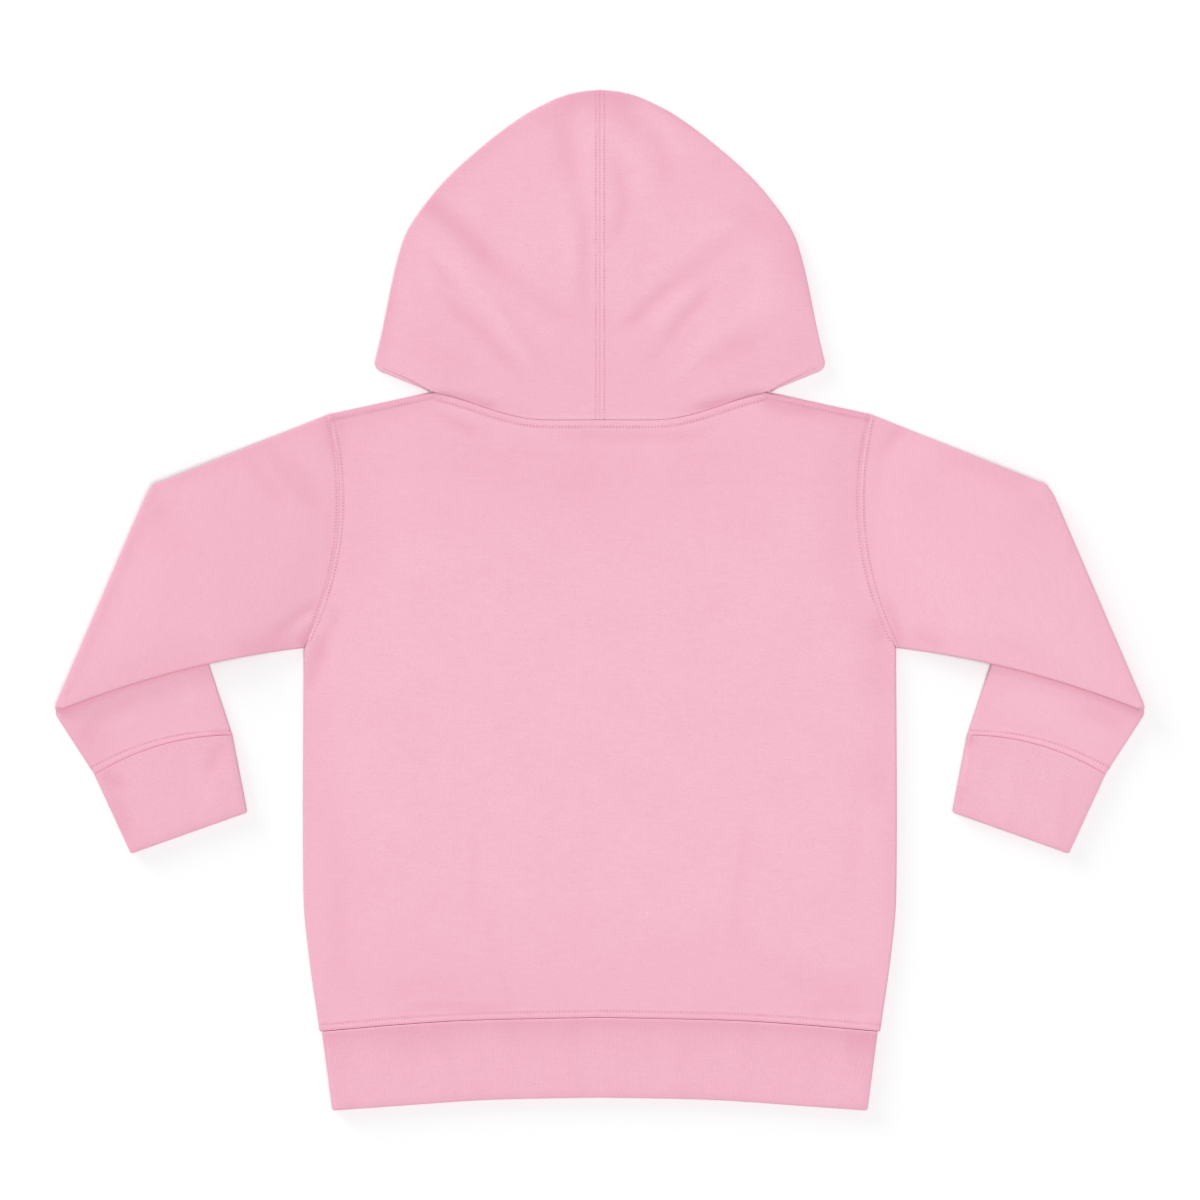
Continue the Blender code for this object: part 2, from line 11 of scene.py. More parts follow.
import bpy
import numpy as np
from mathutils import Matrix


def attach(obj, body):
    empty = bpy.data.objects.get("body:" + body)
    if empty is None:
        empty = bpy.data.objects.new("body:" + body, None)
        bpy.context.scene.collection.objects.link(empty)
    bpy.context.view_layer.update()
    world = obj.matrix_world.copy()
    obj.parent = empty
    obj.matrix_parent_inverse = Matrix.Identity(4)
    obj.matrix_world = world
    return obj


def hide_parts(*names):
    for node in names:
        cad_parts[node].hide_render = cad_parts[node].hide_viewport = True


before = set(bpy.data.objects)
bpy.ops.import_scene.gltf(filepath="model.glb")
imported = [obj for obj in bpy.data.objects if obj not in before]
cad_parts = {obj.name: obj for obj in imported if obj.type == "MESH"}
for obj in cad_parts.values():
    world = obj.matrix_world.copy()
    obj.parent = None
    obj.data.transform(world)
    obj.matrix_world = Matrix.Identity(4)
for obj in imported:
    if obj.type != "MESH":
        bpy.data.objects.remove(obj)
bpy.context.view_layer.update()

# ---------------------------------------------------------------- front panel
# The front is one piece of cotton fleece with a smooth jersey face, cut with a low round neck. It
# lies on the table with its face down, and its sides, shoulders and waist are sewn to the others.

MM = 0.001  # metres in a millimetre
LAYER = 1.8  # height that one layer of the garment takes up
CLOTH = 1.4  # thickness of the fleece
AIR = 0.3  # between the layers
SHOULDER_TIP = (143.6, 98.3)
ARMPIT = (156.9, -25.4)
ARMHOLE_BOW = 11.6  # how far the armhole curves in from the line between its ends
NECK_WIDTH = 88.5  # half the width of the neck
NECK_HEIGHT = 110.2
FRONT_NECK_Y = 66.0
FRONT_NECK_POWER = 2.1  # roundness of the front neckline
WAIST_HALF = 148.4
SIDE_TURN = 1.2  # width over which the cloth turns down at the side seams and shoulders
SEAM_TURN = 0.7  # width over which it dips into a flat seam
SEAM_DIP = 0.3
ARMHOLE_DIP = 0.12
SEAM_GAP = 0.02  # what stays open at the bottom of a seam
FINE_REACH = 6.0  # distance from an edge within which the mesh is fine
FINE_STEP = 0.4
FRONT_STEP = 4.0  # of the mesh, away from the edges

Row = namedtuple("Row", "along across")
SIDE = (  # Y, half the body's width
    Row(-228.4, 148.4),
    Row(-190.0, 153.9),
    Row(-157.0, 156.9),
    Row(-25.4, 156.9),
)
WAIST_SEAM = (  # X, Y
    Row(0.0, -221.0),
    Row(70.0, -222.6),
    Row(105.0, -224.7),
    Row(148.4, -228.4),
)


def blend(a, b, share):
    """The value at this share of the way from a to b."""
    return a + (b - a) * share


def ease(share):
    """0 to 1 with level ends."""
    share = np.clip(share, 0.0, 1.0)
    return share * share * (3.0 - 2.0 * share)


def arch(share):
    """0 at both ends and 1 in the middle."""
    return 4.0 * share * (1.0 - share)


def bell(off, width):
    """1 at no distance, fading over this width on both sides."""
    return np.exp(-((off / width) ** 2))


def fading(off, reach):
    """1 at an edge, fading with the distance from it."""
    return np.exp(-np.maximum(off, 0.0) / reach)


def read_rows(rows, along):
    """The across values of a table at these places, smoothly between its rows."""
    x, y = np.array(rows).T
    last = len(x) - 1
    before = np.maximum(np.arange(last + 1) - 1, 0)
    after = np.minimum(np.arange(last + 1) + 1, last)
    slope = (y[after] - y[before]) / (x[after] - x[before])
    along = np.clip(along, x[0], x[-1])
    k = np.clip(np.searchsorted(x, along) - 1, 0, last - 1)
    width = x[k + 1] - x[k]
    t = (along - x[k]) / width
    rise = y[k + 1] - y[k]
    a, b = slope[k] * width, slope[k + 1] * width
    return y[k] + t * (a + t * (3.0 * rise - 2.0 * a - b + t * (a + b - 2.0 * rise)))


def apart(a, b):
    """The distance between two places."""
    return hypot(b[0] - a[0], b[1] - a[1])


def along_slice(start, end, bow, distance):
    """Plan points on a slice from start to end that bows sideways by bow at its middle."""
    length = apart(start, end)
    ux, uy = (end[0] - start[0]) / length, (end[1] - start[1]) / length
    aside = bow * arch(distance / length)
    return start[0] + ux * distance - uy * aside, start[1] + uy * distance + ux * aside


def armhole(share, outward=0.0):
    """Points on the armhole seam from the armpit to the shoulder, moved outward by this much."""
    start = (ARMPIT[0] + outward, ARMPIT[1])
    end = (SHOULDER_TIP[0] + outward, SHOULDER_TIP[1])
    return along_slice(start, end, ARMHOLE_BOW, share * apart(start, end))


def body_half_width(y):
    """Half the body's width at this height: the side seam, then the armhole."""
    armhole_x, armhole_y = armhole(np.linspace(0.0, 1.0, 60))
    return np.where(y < ARMPIT[1], read_rows(SIDE, y), np.interp(y, armhole_y, armhole_x))


def front_neck_y(x):
    """The front neckline's height."""
    share = np.minimum(np.abs(x) / NECK_WIDTH, 1.0)
    return FRONT_NECK_Y + (NECK_HEIGHT - FRONT_NECK_Y) * share**FRONT_NECK_POWER


def body_place(u, share, neck_y):
    """Plan place on a body panel: u from -1 to 1 across it, share from 0 at the waist to 1 at the top.

    Also the distances to the side, the top and the waist, by name.
    """
    edge_y = blend(SIDE[0].along, SHOULDER_TIP[1], share)
    half = body_half_width(edge_y)
    low = read_rows(WAIST_SEAM, np.abs(u) * WAIST_HALF) + SEAM_GAP / 2
    x_top = np.abs(u) * SHOULDER_TIP[0]
    shoulder_share = np.clip((x_top - NECK_WIDTH) / (SHOULDER_TIP[0] - NECK_WIDTH), 0.0, 1.0)
    shoulder_y = blend(NECK_HEIGHT, SHOULDER_TIP[1], shoulder_share)
    high = np.where(x_top < NECK_WIDTH, neck_y(x_top) - SEAM_GAP / 2, shoulder_y)
    x, y = u * (half - SEAM_GAP / 2), blend(low, high, share)
    off = {"side": (1.0 - np.abs(u)) * half, "top": high - y, "waist": y - low}
    return x, y, off


def turn_down(off, width, drop):
    """How far the cloth has dropped at this distance from an edge that it turns down at."""
    share = np.clip(off / width, 0.0, 1.0)
    return drop * (1.0 - np.sqrt(1.0 - (1.0 - share) ** 2))


def close_steps(length, coarse):
    """Distances from 0 to length, close together beside both ends and coarse between them."""
    fine = np.concatenate([[0.0, 0.08, 0.2], np.arange(FINE_STEP, FINE_REACH, FINE_STEP)])
    count = max(round((length - 2 * FINE_REACH) / coarse), 1)
    middle = np.linspace(FINE_REACH, length - FINE_REACH, count + 1)
    return np.concatenate([fine, middle, length - fine[::-1]])


def body_grid(coarse):
    """The u and share values of a body panel's columns and rows."""
    u = close_steps(2 * ARMPIT[0], coarse) / ARMPIT[0] - 1.0
    neck_corner = NECK_WIDTH / SHOULDER_TIP[0]
    u = np.unique(np.concatenate([u, [-neck_corner, neck_corner]]))
    height = SHOULDER_TIP[1] - SIDE[0].along
    return np.meshgrid(u, close_steps(height, coarse) / height)


FAR_FROM_STITCHES = 20.0
# The first mark is painted shade in the cloth's colour.
UNMARKED = {"painted_shade": 0.0, "stitch_off": FAR_FROM_STITCHES, "stitch_run": 0.0}


def add_piece(name, mesh):
    """A piece of the garment made of this mesh, riding on its one body."""
    piece = bpy.data.objects.new(name, mesh)
    bpy.context.scene.collection.objects.link(piece)
    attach(piece, "root")
    return piece


def cloth_piece(name, points, cloth_place, marks, round_columns=False, round_rows=False, flip=False):
    """A mesh over a grid of points, rows by columns by 3, with its place in the cloth as its UVs.

    marks are more values for each point: one is painted shade, how much deeper its colour is painted for
    the shade of creases, seams and edges and for shadows, or paler below zero for painted light, and
    stitch_off and stitch_run are the distances across and along the nearest row of stitches.
    """
    rows, columns = points.shape[:2]
    index = np.arange(rows * columns).reshape(rows, columns)
    if round_columns:
        index = np.hstack([index, index[:, :1]])
    if round_rows:
        index = np.vstack([index, index[:1]])
    corners = [index[:-1, :-1], index[:-1, 1:], index[1:, 1:], index[1:, :-1]]
    faces = np.stack([corner.ravel() for corner in corners], axis=1)
    if flip:
        faces = faces[:, ::-1]
    mesh = bpy.data.meshes.new(name)
    mesh.from_pydata((points.reshape(-1, 3) * MM).tolist(), [], faces.tolist())
    mesh.shade_smooth()
    corner_points = np.empty(len(mesh.loops), dtype=np.int32)
    mesh.loops.foreach_get("vertex_index", corner_points)
    uvs = mesh.uv_layers.new(name="cloth")
    uvs.uv.foreach_set("vector", (cloth_place.reshape(-1, 2)[corner_points] * MM).ravel())
    for mark, unmarked in UNMARKED.items():
        values = np.broadcast_to(marks.get(mark, unmarked), (rows, columns))
        attribute = mesh.attributes.new(mark, "FLOAT", "POINT")
        attribute.data.foreach_set("value", values.astype(np.float32).ravel())
    return add_piece(name, mesh)


def thicken(piece, thickness):
    """Give a piece's cloth its thickness, inwards from its face."""
    wall = piece.modifiers.new("cloth thickness", "SOLIDIFY")
    wall.thickness = thickness * MM
    wall.offset = -1.0


# Shades are painted shade: shares of the way to the colour painted in the depth of a crease, and below zero
# they are painted light, paler.
EDGE_SHADE = 0.15
EDGE_REACH = 6.0  # distance over which the shade of an edge fades
LINE_WIDTH = 0.5  # of the line in a seam
RIDGE_WIDTH = 0.6  # of the ridge on its allowance
HOLLOW_REACH = 7.5  # distance over which the hollow beside it fades

SeamShade = namedtuple("SeamShade", "line ridge ridge_at hollow", defaults=(0.0,))


def edge_shade(off):
    """Painted shade: how much deeper the colour is painted at this distance from an edge that the cloth
    turns round.
    """
    return EDGE_SHADE * fading(off, EDGE_REACH)


def seam_shade(off, shade):
    """The same beside a seam: a line of painted shade in it, a painted highlight on the ridge of its
    allowance and a soft painted hollow.
    """
    dark = shade.line * bell(off, LINE_WIDTH) + shade.hollow * fading(off, HOLLOW_REACH)
    return dark - shade.ridge * bell(off - shade.ridge_at, RIDGE_WIDTH)


def add_node(tree, kind, **values):
    """A node with these settings or input values, a socket among them being linked."""
    node = tree.nodes.new(kind)
    for key, value in values.items():
        name = key.replace("_", " ")
        if hasattr(node, key) and not isinstance(value, bpy.types.NodeSocket) and name not in node.inputs:
            setattr(node, key, value)
            continue
        socket = node.inputs[int(key[1:])] if key[0] == "i" and key[1:].isdigit() else node.inputs[name]
        if isinstance(value, bpy.types.NodeSocket):
            tree.links.new(value, socket)
        else:
            socket.default_value = value
    return node


def maths(tree, operation, a, b=0.0, c=0.0):
    """What this operation makes of the values or sockets."""
    return add_node(tree, "ShaderNodeMath", operation=operation, i0=a, i1=b, i2=c).outputs[0]


def new_group(name, inputs, outputs):
    """An empty node group with named float, vector or colour sockets."""
    tree = bpy.data.node_groups.new(name, "ShaderNodeTree")
    for direction, sockets in (("INPUT", inputs), ("OUTPUT", outputs)):
        for label, kind in sockets:
            tree.interface.new_socket(label, in_out=direction, socket_type="NodeSocket" + kind)
    return tree, tree.nodes.new("NodeGroupInput").outputs, tree.nodes.new("NodeGroupOutput").inputs


RIB_STRETCH = 20.0  # distance from its seam over which a rib is stretched


def make_knit_face():
    """Knit seen close by: columns of loops, yarn thick and thin along the courses, soft mottling, and
    painted shade between the loops and in the lines between ribs.

    The first output is how far each place is towards the shaded colour: the yarn's own uneven tone and
    flecks, and painted shade between the loops and ribs. Mottle is how far it is towards the deeper colour.
    """
    tree, given, out = new_group(
        "knit face",
        [("Place", "Vector"), ("Column", "Float"), ("Flecks", "Float"), ("Ribs", "Float")],
        [("GrainAndShade", "Float"), ("Mottle", "Float"), ("Height", "Float")],
    )

    def noise(scale, wide, detail=2.0):
        """Signed noise whose blobs are this many times as wide as they are high."""
        narrowed = add_node(
            tree, "ShaderNodeVectorMath", operation="MULTIPLY", i0=given["Place"], i1=(1.0 / wide, 1.0, 1.0)
        )
        blobs = add_node(tree, "ShaderNodeTexNoise", Vector=narrowed.outputs[0], Scale=scale, Detail=detail)
        return maths(tree, "SUBTRACT", blobs.outputs["Fac"], 0.5)

    def above(value, low, high):
        """0 up to low, and 1 from high."""
        ramp = add_node(tree, "ShaderNodeMapRange", Value=value, From_Min=low, From_Max=high)
        return ramp.outputs["Result"]

    split = add_node(tree, "ShaderNodeSeparateXYZ", Vector=given["Place"])
    across = maths(tree, "DIVIDE", split.outputs["X"], given["Column"])
    along = maths(tree, "DIVIDE", split.outputs["Y"], given["Column"])
    in_column = maths(tree, "MULTIPLY", maths(tree, "PINGPONG", across, 0.5), 2.0)  # 0 between columns
    # Each loop leans up towards the middle of its column, and there are 1.25 loops in a column's width.
    leaning = maths(tree, "MULTIPLY_ADD", in_column, 0.8, maths(tree, "MULTIPLY", along, 1.25))
    loops = maths(tree, "SINE", maths(tree, "MULTIPLY", leaning, 2 * pi))
    clear = above(noise(160.0, 1.0), -0.15, 0.2)
    knit = maths(tree, "MULTIPLY", maths(tree, "MULTIPLY_ADD", loops, -0.15, in_column), clear)

    yarn = noise(1000.0, 1.6)
    course = noise(800.0, 9.0)
    slub = noise(700.0, 4.0, 1.0)
    nap = noise(2600.0, 1.0)
    patch = noise(230.0, 1.3)
    # Yarn, courses, nap and patches are the cloth's own uneven tone, and the knit's small part is painted
    # shade between its loops.
    grain_and_shade = maths(tree, "MULTIPLY", yarn, 0.65)
    for part, amount in ((course, 0.3), (nap, 0.42), (patch, 0.18), (knit, -0.06)):
        grain_and_shade = maths(tree, "MULTIPLY_ADD", part, amount, grain_and_shade)
    grain_and_shade = maths(tree, "MULTIPLY_ADD", above(slub, 0.16, 0.26), given["Flecks"], grain_and_shade)
    # Painted shade in the lines between the ribs, clearest at the seam, where the ribs are stretched most.
    from_seam = maths(tree, "DIVIDE", split.outputs["Y"], -RIB_STRETCH * MM)
    stretched = maths(tree, "MULTIPLY_ADD", maths(tree, "EXPONENT", from_seam), 0.6, 0.4)
    between_ribs = maths(tree, "MULTIPLY", maths(tree, "SUBTRACT", 0.6, in_column), stretched)
    grain_and_shade = maths(tree, "MULTIPLY_ADD", between_ribs, given["Ribs"], grain_and_shade)
    tree.links.new(grain_and_shade, out["GrainAndShade"])
    tree.links.new(maths(tree, "MULTIPLY", noise(40.0, 1.5, 3.0), 0.2), out["Mottle"])
    height = maths(tree, "MULTIPLY_ADD", nap, 0.5, knit)
    tree.links.new(maths(tree, "MULTIPLY_ADD", yarn, 0.8, height), out["Height"])
    return tree


STITCH_PITCH = 1.7
HOLE_WIDTH = 0.65  # across the row


def make_needle_marks():
    """The holes that a row of stitches pulls into the cloth: painted shade as dark dots with light cloth
    between, and their dents as height.
    """
    tree, _, out = new_group("needle marks", [], [("PaintedHoleShade", "Float"), ("Height", "Float")])
    off = add_node(tree, "ShaderNodeAttribute", attribute_name="stitch_off").outputs["Fac"]
    run = add_node(tree, "ShaderNodeAttribute", attribute_name="stitch_run").outputs["Fac"]
    beat = maths(tree, "SINE", maths(tree, "MULTIPLY", run, 2 * pi / STITCH_PITCH))
    far = maths(tree, "DIVIDE", off, HOLE_WIDTH)
    near = maths(tree, "EXPONENT", maths(tree, "MULTIPLY", maths(tree, "MULTIPLY", far, far), -1.0))
    uneven = add_node(tree, "ShaderNodeTexNoise", noise_dimensions="1D", W=run, Scale=0.09, Detail=2.0)
    strength = add_node(
        tree, "ShaderNodeMapRange", Value=uneven.outputs["Fac"], From_Min=0.3, From_Max=0.65, To_Min=0.35
    )
    near = maths(tree, "MULTIPLY", near, strength.outputs["Result"])
    painted_hole_shade = maths(tree, "MULTIPLY", maths(tree, "MULTIPLY_ADD", beat, 0.5, 0.5), near)
    tree.links.new(painted_hole_shade, out["PaintedHoleShade"])
    tree.links.new(maths(tree, "MULTIPLY", painted_hole_shade, -1.0), out["Height"])
    return tree


knit_face = make_knit_face()
needle_marks = make_needle_marks()


SHADE_AND_MOTTLE_LEFT = (0.882, 0.672, 0.77)  # what is left of each colour in painted crease, seam and edge shade, and in the darker mottling
GRAIN_AND_SHADE_LEFT = (0.84, 0.672, 0.72)  # and in the yarn's own darker places, and in painted shade in the hollows between yarns and ribs and in needle holes
HOLE_SHADE = 1.4  # how far a needle hole's painted shade takes the colour towards the colour above
KNIT_DEPTH = 0.1  # depth of the relief between the loops
HOLE_DEPTH = 0.15  # and of a needle hole


def new_material(name):
    """A material, its node tree and its shader."""
    material = bpy.data.materials.new(name)
    material.use_nodes = True
    return material, material.node_tree, material.node_tree.nodes["Principled BSDF"]


def knit_cloth(name, colour, column, flecks, ribs):
    """A knit cloth of this colour, with painted shade and painted light from creases, seams, edges, needle
    holes and the knit.

    column is the distance between two columns of loops, or two ribs, and ribs is how strong the painted
    shade between ribs is.
    """
    material, tree, shader = new_material(name)
    place = add_node(tree, "ShaderNodeUVMap", uv_map="cloth").outputs["UV"]
    values = {"Place": place, "Column": column * MM, "Flecks": flecks, "Ribs": ribs}
    face = add_node(tree, "ShaderNodeGroup", node_tree=knit_face, **values)
    marks = add_node(tree, "ShaderNodeGroup", node_tree=needle_marks)
    painted_shade = add_node(tree, "ShaderNodeAttribute", attribute_name="painted_shade").outputs["Fac"]
    dye_and_shade = (*colour, 1.0)
    for amount, left in (
        (maths(tree, "ADD", painted_shade, face.outputs["Mottle"]), SHADE_AND_MOTTLE_LEFT),
        (maths(tree, "MULTIPLY_ADD", marks.outputs["PaintedHoleShade"], HOLE_SHADE, face.outputs["GrainAndShade"]), GRAIN_AND_SHADE_LEFT),
    ):
        darker = (*(part * share for part, share in zip(colour, left)), 1.0)
        mix = add_node(
            tree, "ShaderNodeMix", data_type="RGBA", clamp_factor=False, i0=amount, i6=dye_and_shade, i7=darker
        )
        dye_and_shade = mix.outputs[2]
    tree.links.new(dye_and_shade, shader.inputs["Base Color"])
    shader.inputs["Roughness"].default_value = 0.95
    shader.inputs["Specular IOR Level"].default_value = 0.2
    shader.inputs["Sheen Weight"].default_value = 0.08
    shader.inputs["Sheen Roughness"].default_value = 0.6
    knit = {"Height": face.outputs["Height"], "Strength": 0.35, "Distance": KNIT_DEPTH * MM}
    relief = add_node(tree, "ShaderNodeBump", **knit)
    holes = {"Height": marks.outputs["Height"], "Strength": 0.6, "Distance": HOLE_DEPTH * MM}
    dents = add_node(tree, "ShaderNodeBump", **holes, Normal=relief.outputs["Normal"])
    tree.links.new(dents.outputs["Normal"], shader.inputs["Normal"])
    return material


PINK = (0.82, 0.446, 0.545)
fleece = knit_cloth("pink fleece", PINK, column=0.95, flecks=0.2, ribs=0.0)

Crease = namedtuple("Crease", "width rise points")
CREASE_SHADE = 0.65  # painted shade: how much deeper the colour is painted for each millimetre that a crease goes down, and paler on a ridge
FRONT_CREASES = (  # pressed into the face that lies on the table
    Crease(9, -0.3, ((-138, 60), (-134, 20), (-140, -20))),
    Crease(9, -0.3, ((136, 66), (131, 24), (141, -24))),
    Crease(6, -0.25, ((-70, 52), (-52, 36), (-44, 12))),
    Crease(6, -0.25, ((66, 56), (48, 40), (42, 18))),
    Crease(8, -0.2, ((-30, 40), (0, 28), (34, 42))),
    Crease(10, -0.2, ((-148, -70), (-140, -130), (-144, -200))),
    Crease(10, -0.2, ((146, -90), (138, -150), (142, -205))),
    Crease(5, -0.2, ((-60, -120), (-54, -160), (-62, -205))),
    Crease(5, -0.2, ((76, -110), (68, -160), (80, -200))),
    Crease(7, -0.25, ((-118, -208), (-70, -204), (-20, -210))),
    Crease(7, -0.3, ((60, -210), (104, -203), (140, -210))),
)


def crease_rise(creases, x, y):
    """How far the creases lift or lower the cloth, fading towards each crease's ends."""
    rise = np.zeros_like(x)
    for crease in creases:
        points = np.array(crease.points, dtype=float)
        lengths = np.hypot(*np.diff(points, axis=0).T)
        total = lengths.sum()
        nearest = np.full(x.shape, np.inf)
        place = np.zeros_like(x)
        for k, length in enumerate(lengths):
            dx, dy = points[k + 1] - points[k]
            share = np.clip(((x - points[k, 0]) * dx + (y - points[k, 1]) * dy) / length**2, 0.0, 1.0)
            away = np.hypot(x - points[k, 0] - share * dx, y - points[k, 1] - share * dy)
            closer = away < nearest
            nearest = np.where(closer, away, nearest)
            place = np.where(closer, (lengths[:k].sum() + share * length) / total, place)
        fade = 0.25 + 0.75 * ease(4.0 * np.minimum(place, 1.0 - place))
        rise += crease.rise * fade * bell(nearest, crease.width)
    return rise


u, share = body_grid(FRONT_STEP)
x, y, off = body_place(u, share, front_neck_y)
z = np.maximum.reduce([turn_down(off[edge], SIDE_TURN, LAYER) for edge in ("side", "top", "waist")])
creased = crease_rise(FRONT_CREASES, x, y)
points = np.stack([x, y, np.maximum(z, -creased)], axis=2)
# Painted shade along the sides and in the creases.
marks = {"painted_shade": edge_shade(off["side"]) - CREASE_SHADE * creased}
front_panel = cloth_piece("front_panel_cloth", points, points[:, :, :2], marks, flip=True)
thicken(front_panel, CLOTH)
front_panel.data.materials.append(fleece)
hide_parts("front_panel")

# ---------------------------------------------------------------- back panel
# The back is cut from the same fleece with a high neck. It lies on top with its face up. Its seam
# allowances are pressed down from the neck, shoulders and waist, and held there by topstitching.

BACK_LIFT = LAYER + AIR  # height of the back's underside
BACK_LOFT = 1.6  # how far the back stands off the front at mid chest
BACK_NECK = (  # X, Y of the neck seam
    Row(0.0, 95.5),
    Row(30.0, 95.5),
    Row(40.0, 96.4),
    Row(55.0, 100.0),
    Row(72.5, 105.8),
    Row(88.5, 110.2),
)
BACK_STEP = 2.6  # of the mesh, away from the edges
NECK_STITCH = 3.8  # distance of the topstitching from each seam
SHOULDER_STITCH = 3.2
ARMHOLE_STITCH = 1.8
WAIST_STITCH = 3.6
ALLOWANCE_START = 0.5  # from the seam to where its allowance starts to lift the cloth
ALLOWANCE_SLOPE = 0.8  # width over which it lifts it
ALLOWANCE_RISE = 0.2
STITCH_DENT = 0.12  # how far the thread pulls the cloth in
DENT_WIDTH = 0.5
ARMHOLE_START = 5.0  # height above the armpit over which the side seam becomes the armhole's
NECK_SHADE = SeamShade(line=0.45, ridge=0.06, ridge_at=NECK_STITCH + 1.5, hollow=0.1)
NECK_LEVEL = 25.0  # half the width of the neckline's level middle
NECK_SIDE_SHADE = 0.2  # more painted shade in the hollow on both sides of that
NECK_SIDE_START = 35.0  # width over which that comes in
NECK_SIDE_AT = 3.0  # its distance from the seam
NECK_SIDE_WIDTH = 1.5
SHOULDER_SLOPE = 0.2  # of the shoulder line, for the distance square to it
SHOULDER_SHADE = 0.25  # painted shade beside the shoulder, where the cloth slopes down
SHOULDER_SHADE_REACH = 12.0
SHOULDER_START = 78.0  # X at which the neck's shade starts to give way to the shoulder's
SHOULDER_BLEND = 14.0  # width over which it does
BACK_ARMHOLE_SHADE = SeamShade(line=-0.35, ridge=0.03, ridge_at=2.9, hollow=0.05)
WAIST_SHADE = SeamShade(line=0.6, ridge=0.06, ridge_at=2.0, hollow=0.16)

BACK_CREASES = (  # soft troughs, and ridges where the rise is above zero
    # beside the armholes and armpits
    Crease(14, -0.22, ((-128, 92), (-127, 50), (-129, 20), (-133, -4))),
    Crease(3, -0.25, ((-137, 96), (-136, 86), (-138, 72))),
    Crease(4, -0.4, ((-141, 2), (-140, -10), (-145, -22), (-150, -38))),
    Crease(4, -0.4, ((-147, -15), (-151, -33), (-154, -50))),
    Crease(11, -0.22, ((128, 92), (128, 50), (129, 20), (132, 0))),
    Crease(3, -0.18, ((141, 94), (137, 70), (136, 40))),
    Crease(4, -0.4, ((145, -8), (148, -16), (151, -26))),
    Crease(9, -0.3, ((139, -4), (146, -30), (148, -60))),
    # down the sides
    Crease(10, -0.15, ((-152, -60), (-147, -110), (-139, -150), (-137, -190), (-140, -215))),
    Crease(5, -0.1, ((-139, -120), (-137, -150), (-138, -190), (-139, -212))),
    Crease(7, -0.1, ((148, -60), (147, -85), (150, -110))),
    Crease(4, -0.15, ((146, -88), (149, -104), (152, -112))),
    Crease(5, -0.1, ((140, -80), (136, -110), (132, -140), (134, -160))),
    Crease(3, -0.08, ((155, -100), (155, -150), (152, -190))),
    Crease(30, -0.08, ((-126, -146), (-112, -162), (-98, -178))),
    # below the neck and shoulders
    Crease(3, -0.5, ((-86, 98), (-76, 93), (-62, 88))),
    Crease(3, -0.4, ((-26, 87), (14, 86), (48, 86), (64, 92))),
    Crease(3, -0.45, ((84, 106), (96, 101), (118, 98))),
    Crease(14, -0.15, ((-105, 84), (-60, 74), (-20, 72))),
    Crease(12, -0.15, ((-4, 88), (-8, 66), (-20, 48))),
    Crease(10, -0.1, ((30, 70), (70, 76), (104, 84))),
    Crease(34, -0.15, ((-120, 84), (-50, 62), (40, 62), (120, 82))),
    Crease(24, -0.1, ((-34, 70), (0, 64), (34, 70))),
    Crease(2, -0.15, ((-52, 80), (-36, 77), (-18, 78))),
    Crease(2, -0.12, ((24, 60), (60, 63), (104, 61), (132, 64))),
    Crease(2, -0.12, ((-118, 68), (-84, 70), (-56, 66))),
    # above the waist
    Crease(3, -0.15, ((-66, -118), (-67, -145), (-66, -170))),
    Crease(3, -0.15, ((-58, -160), (-57, -185), (-50, -203), (-47, -218))),
    Crease(3, -0.15, ((82, -104), (77, -130), (73, -156), (73, -177), (79, -194))),
    Crease(5, -0.15, ((-112, -212), (-96, -204), (-76, -204))),
    Crease(3, -0.35, ((-108, -218), (-84, -215), (-62, -217), (-46, -215))),
    Crease(14, -0.15, ((-150, -208), (-110, -206), (-60, -205))),
    Crease(24, -0.14, ((-130, -200), (0, -196), (130, -200))),
    Crease(8, -0.15, ((96, -214), (118, -210), (136, -209), (148, -213))),
    Crease(3, -0.3, ((110, -217), (126, -215), (142, -217))),
    Crease(5, -0.12, ((74, -180), (86, -191), (100, -199), (122, -205), (146, -207))),
    Crease(10, -0.08, ((90, -192), (112, -200), (146, -204))),
)


def topstitched(off, stitch_at):
    """Relief beside a topstitched seam: the allowance beneath lifts the cloth, and the thread dents it."""
    allowance = ease((off - ALLOWANCE_START) / ALLOWANCE_SLOPE) * (1.0 - ease(off - stitch_at))
    return ALLOWANCE_RISE * allowance - STITCH_DENT * bell(off - stitch_at, DENT_WIDTH)


def nearest_row(*rows):
    """The off and run marks of the nearest of several rows of stitches, each (off, run)."""
    off, run = (np.broadcast_to(a, rows[0][0].shape).copy() for a in rows[0])
    for other_off, other_run in rows[1:]:
        closer = np.abs(other_off) < np.abs(off)
        off[closer] = other_off[closer]
        run[closer] = np.broadcast_to(other_run, off.shape)[closer]
    return off, run


def back_neck_y(x):
    """The neck seam's height."""
    return read_rows(BACK_NECK, np.abs(x))


def back_shade(x, off, from_top, in_armhole):
    """Painted shade beside the back's seams and edges, with painted light on the ridges of its allowances.
    """
    neck_side = ease((np.abs(x) - NECK_LEVEL) / NECK_SIDE_START)
    neck_side = neck_side * bell(from_top - NECK_SIDE_AT, NECK_SIDE_WIDTH)
    neck_shade = seam_shade(from_top, NECK_SHADE) + NECK_SIDE_SHADE * neck_side
    shoulder_shade = 2.0 * edge_shade(from_top) + SHOULDER_SHADE * fading(from_top, SHOULDER_SHADE_REACH)
    top_shade = blend(neck_shade, shoulder_shade, ease((np.abs(x) - SHOULDER_START) / SHOULDER_BLEND))
    side_shade = blend(edge_shade(off["side"]), seam_shade(off["side"], BACK_ARMHOLE_SHADE), in_armhole)
    return side_shade + top_shade + seam_shade(off["waist"], WAIST_SHADE)


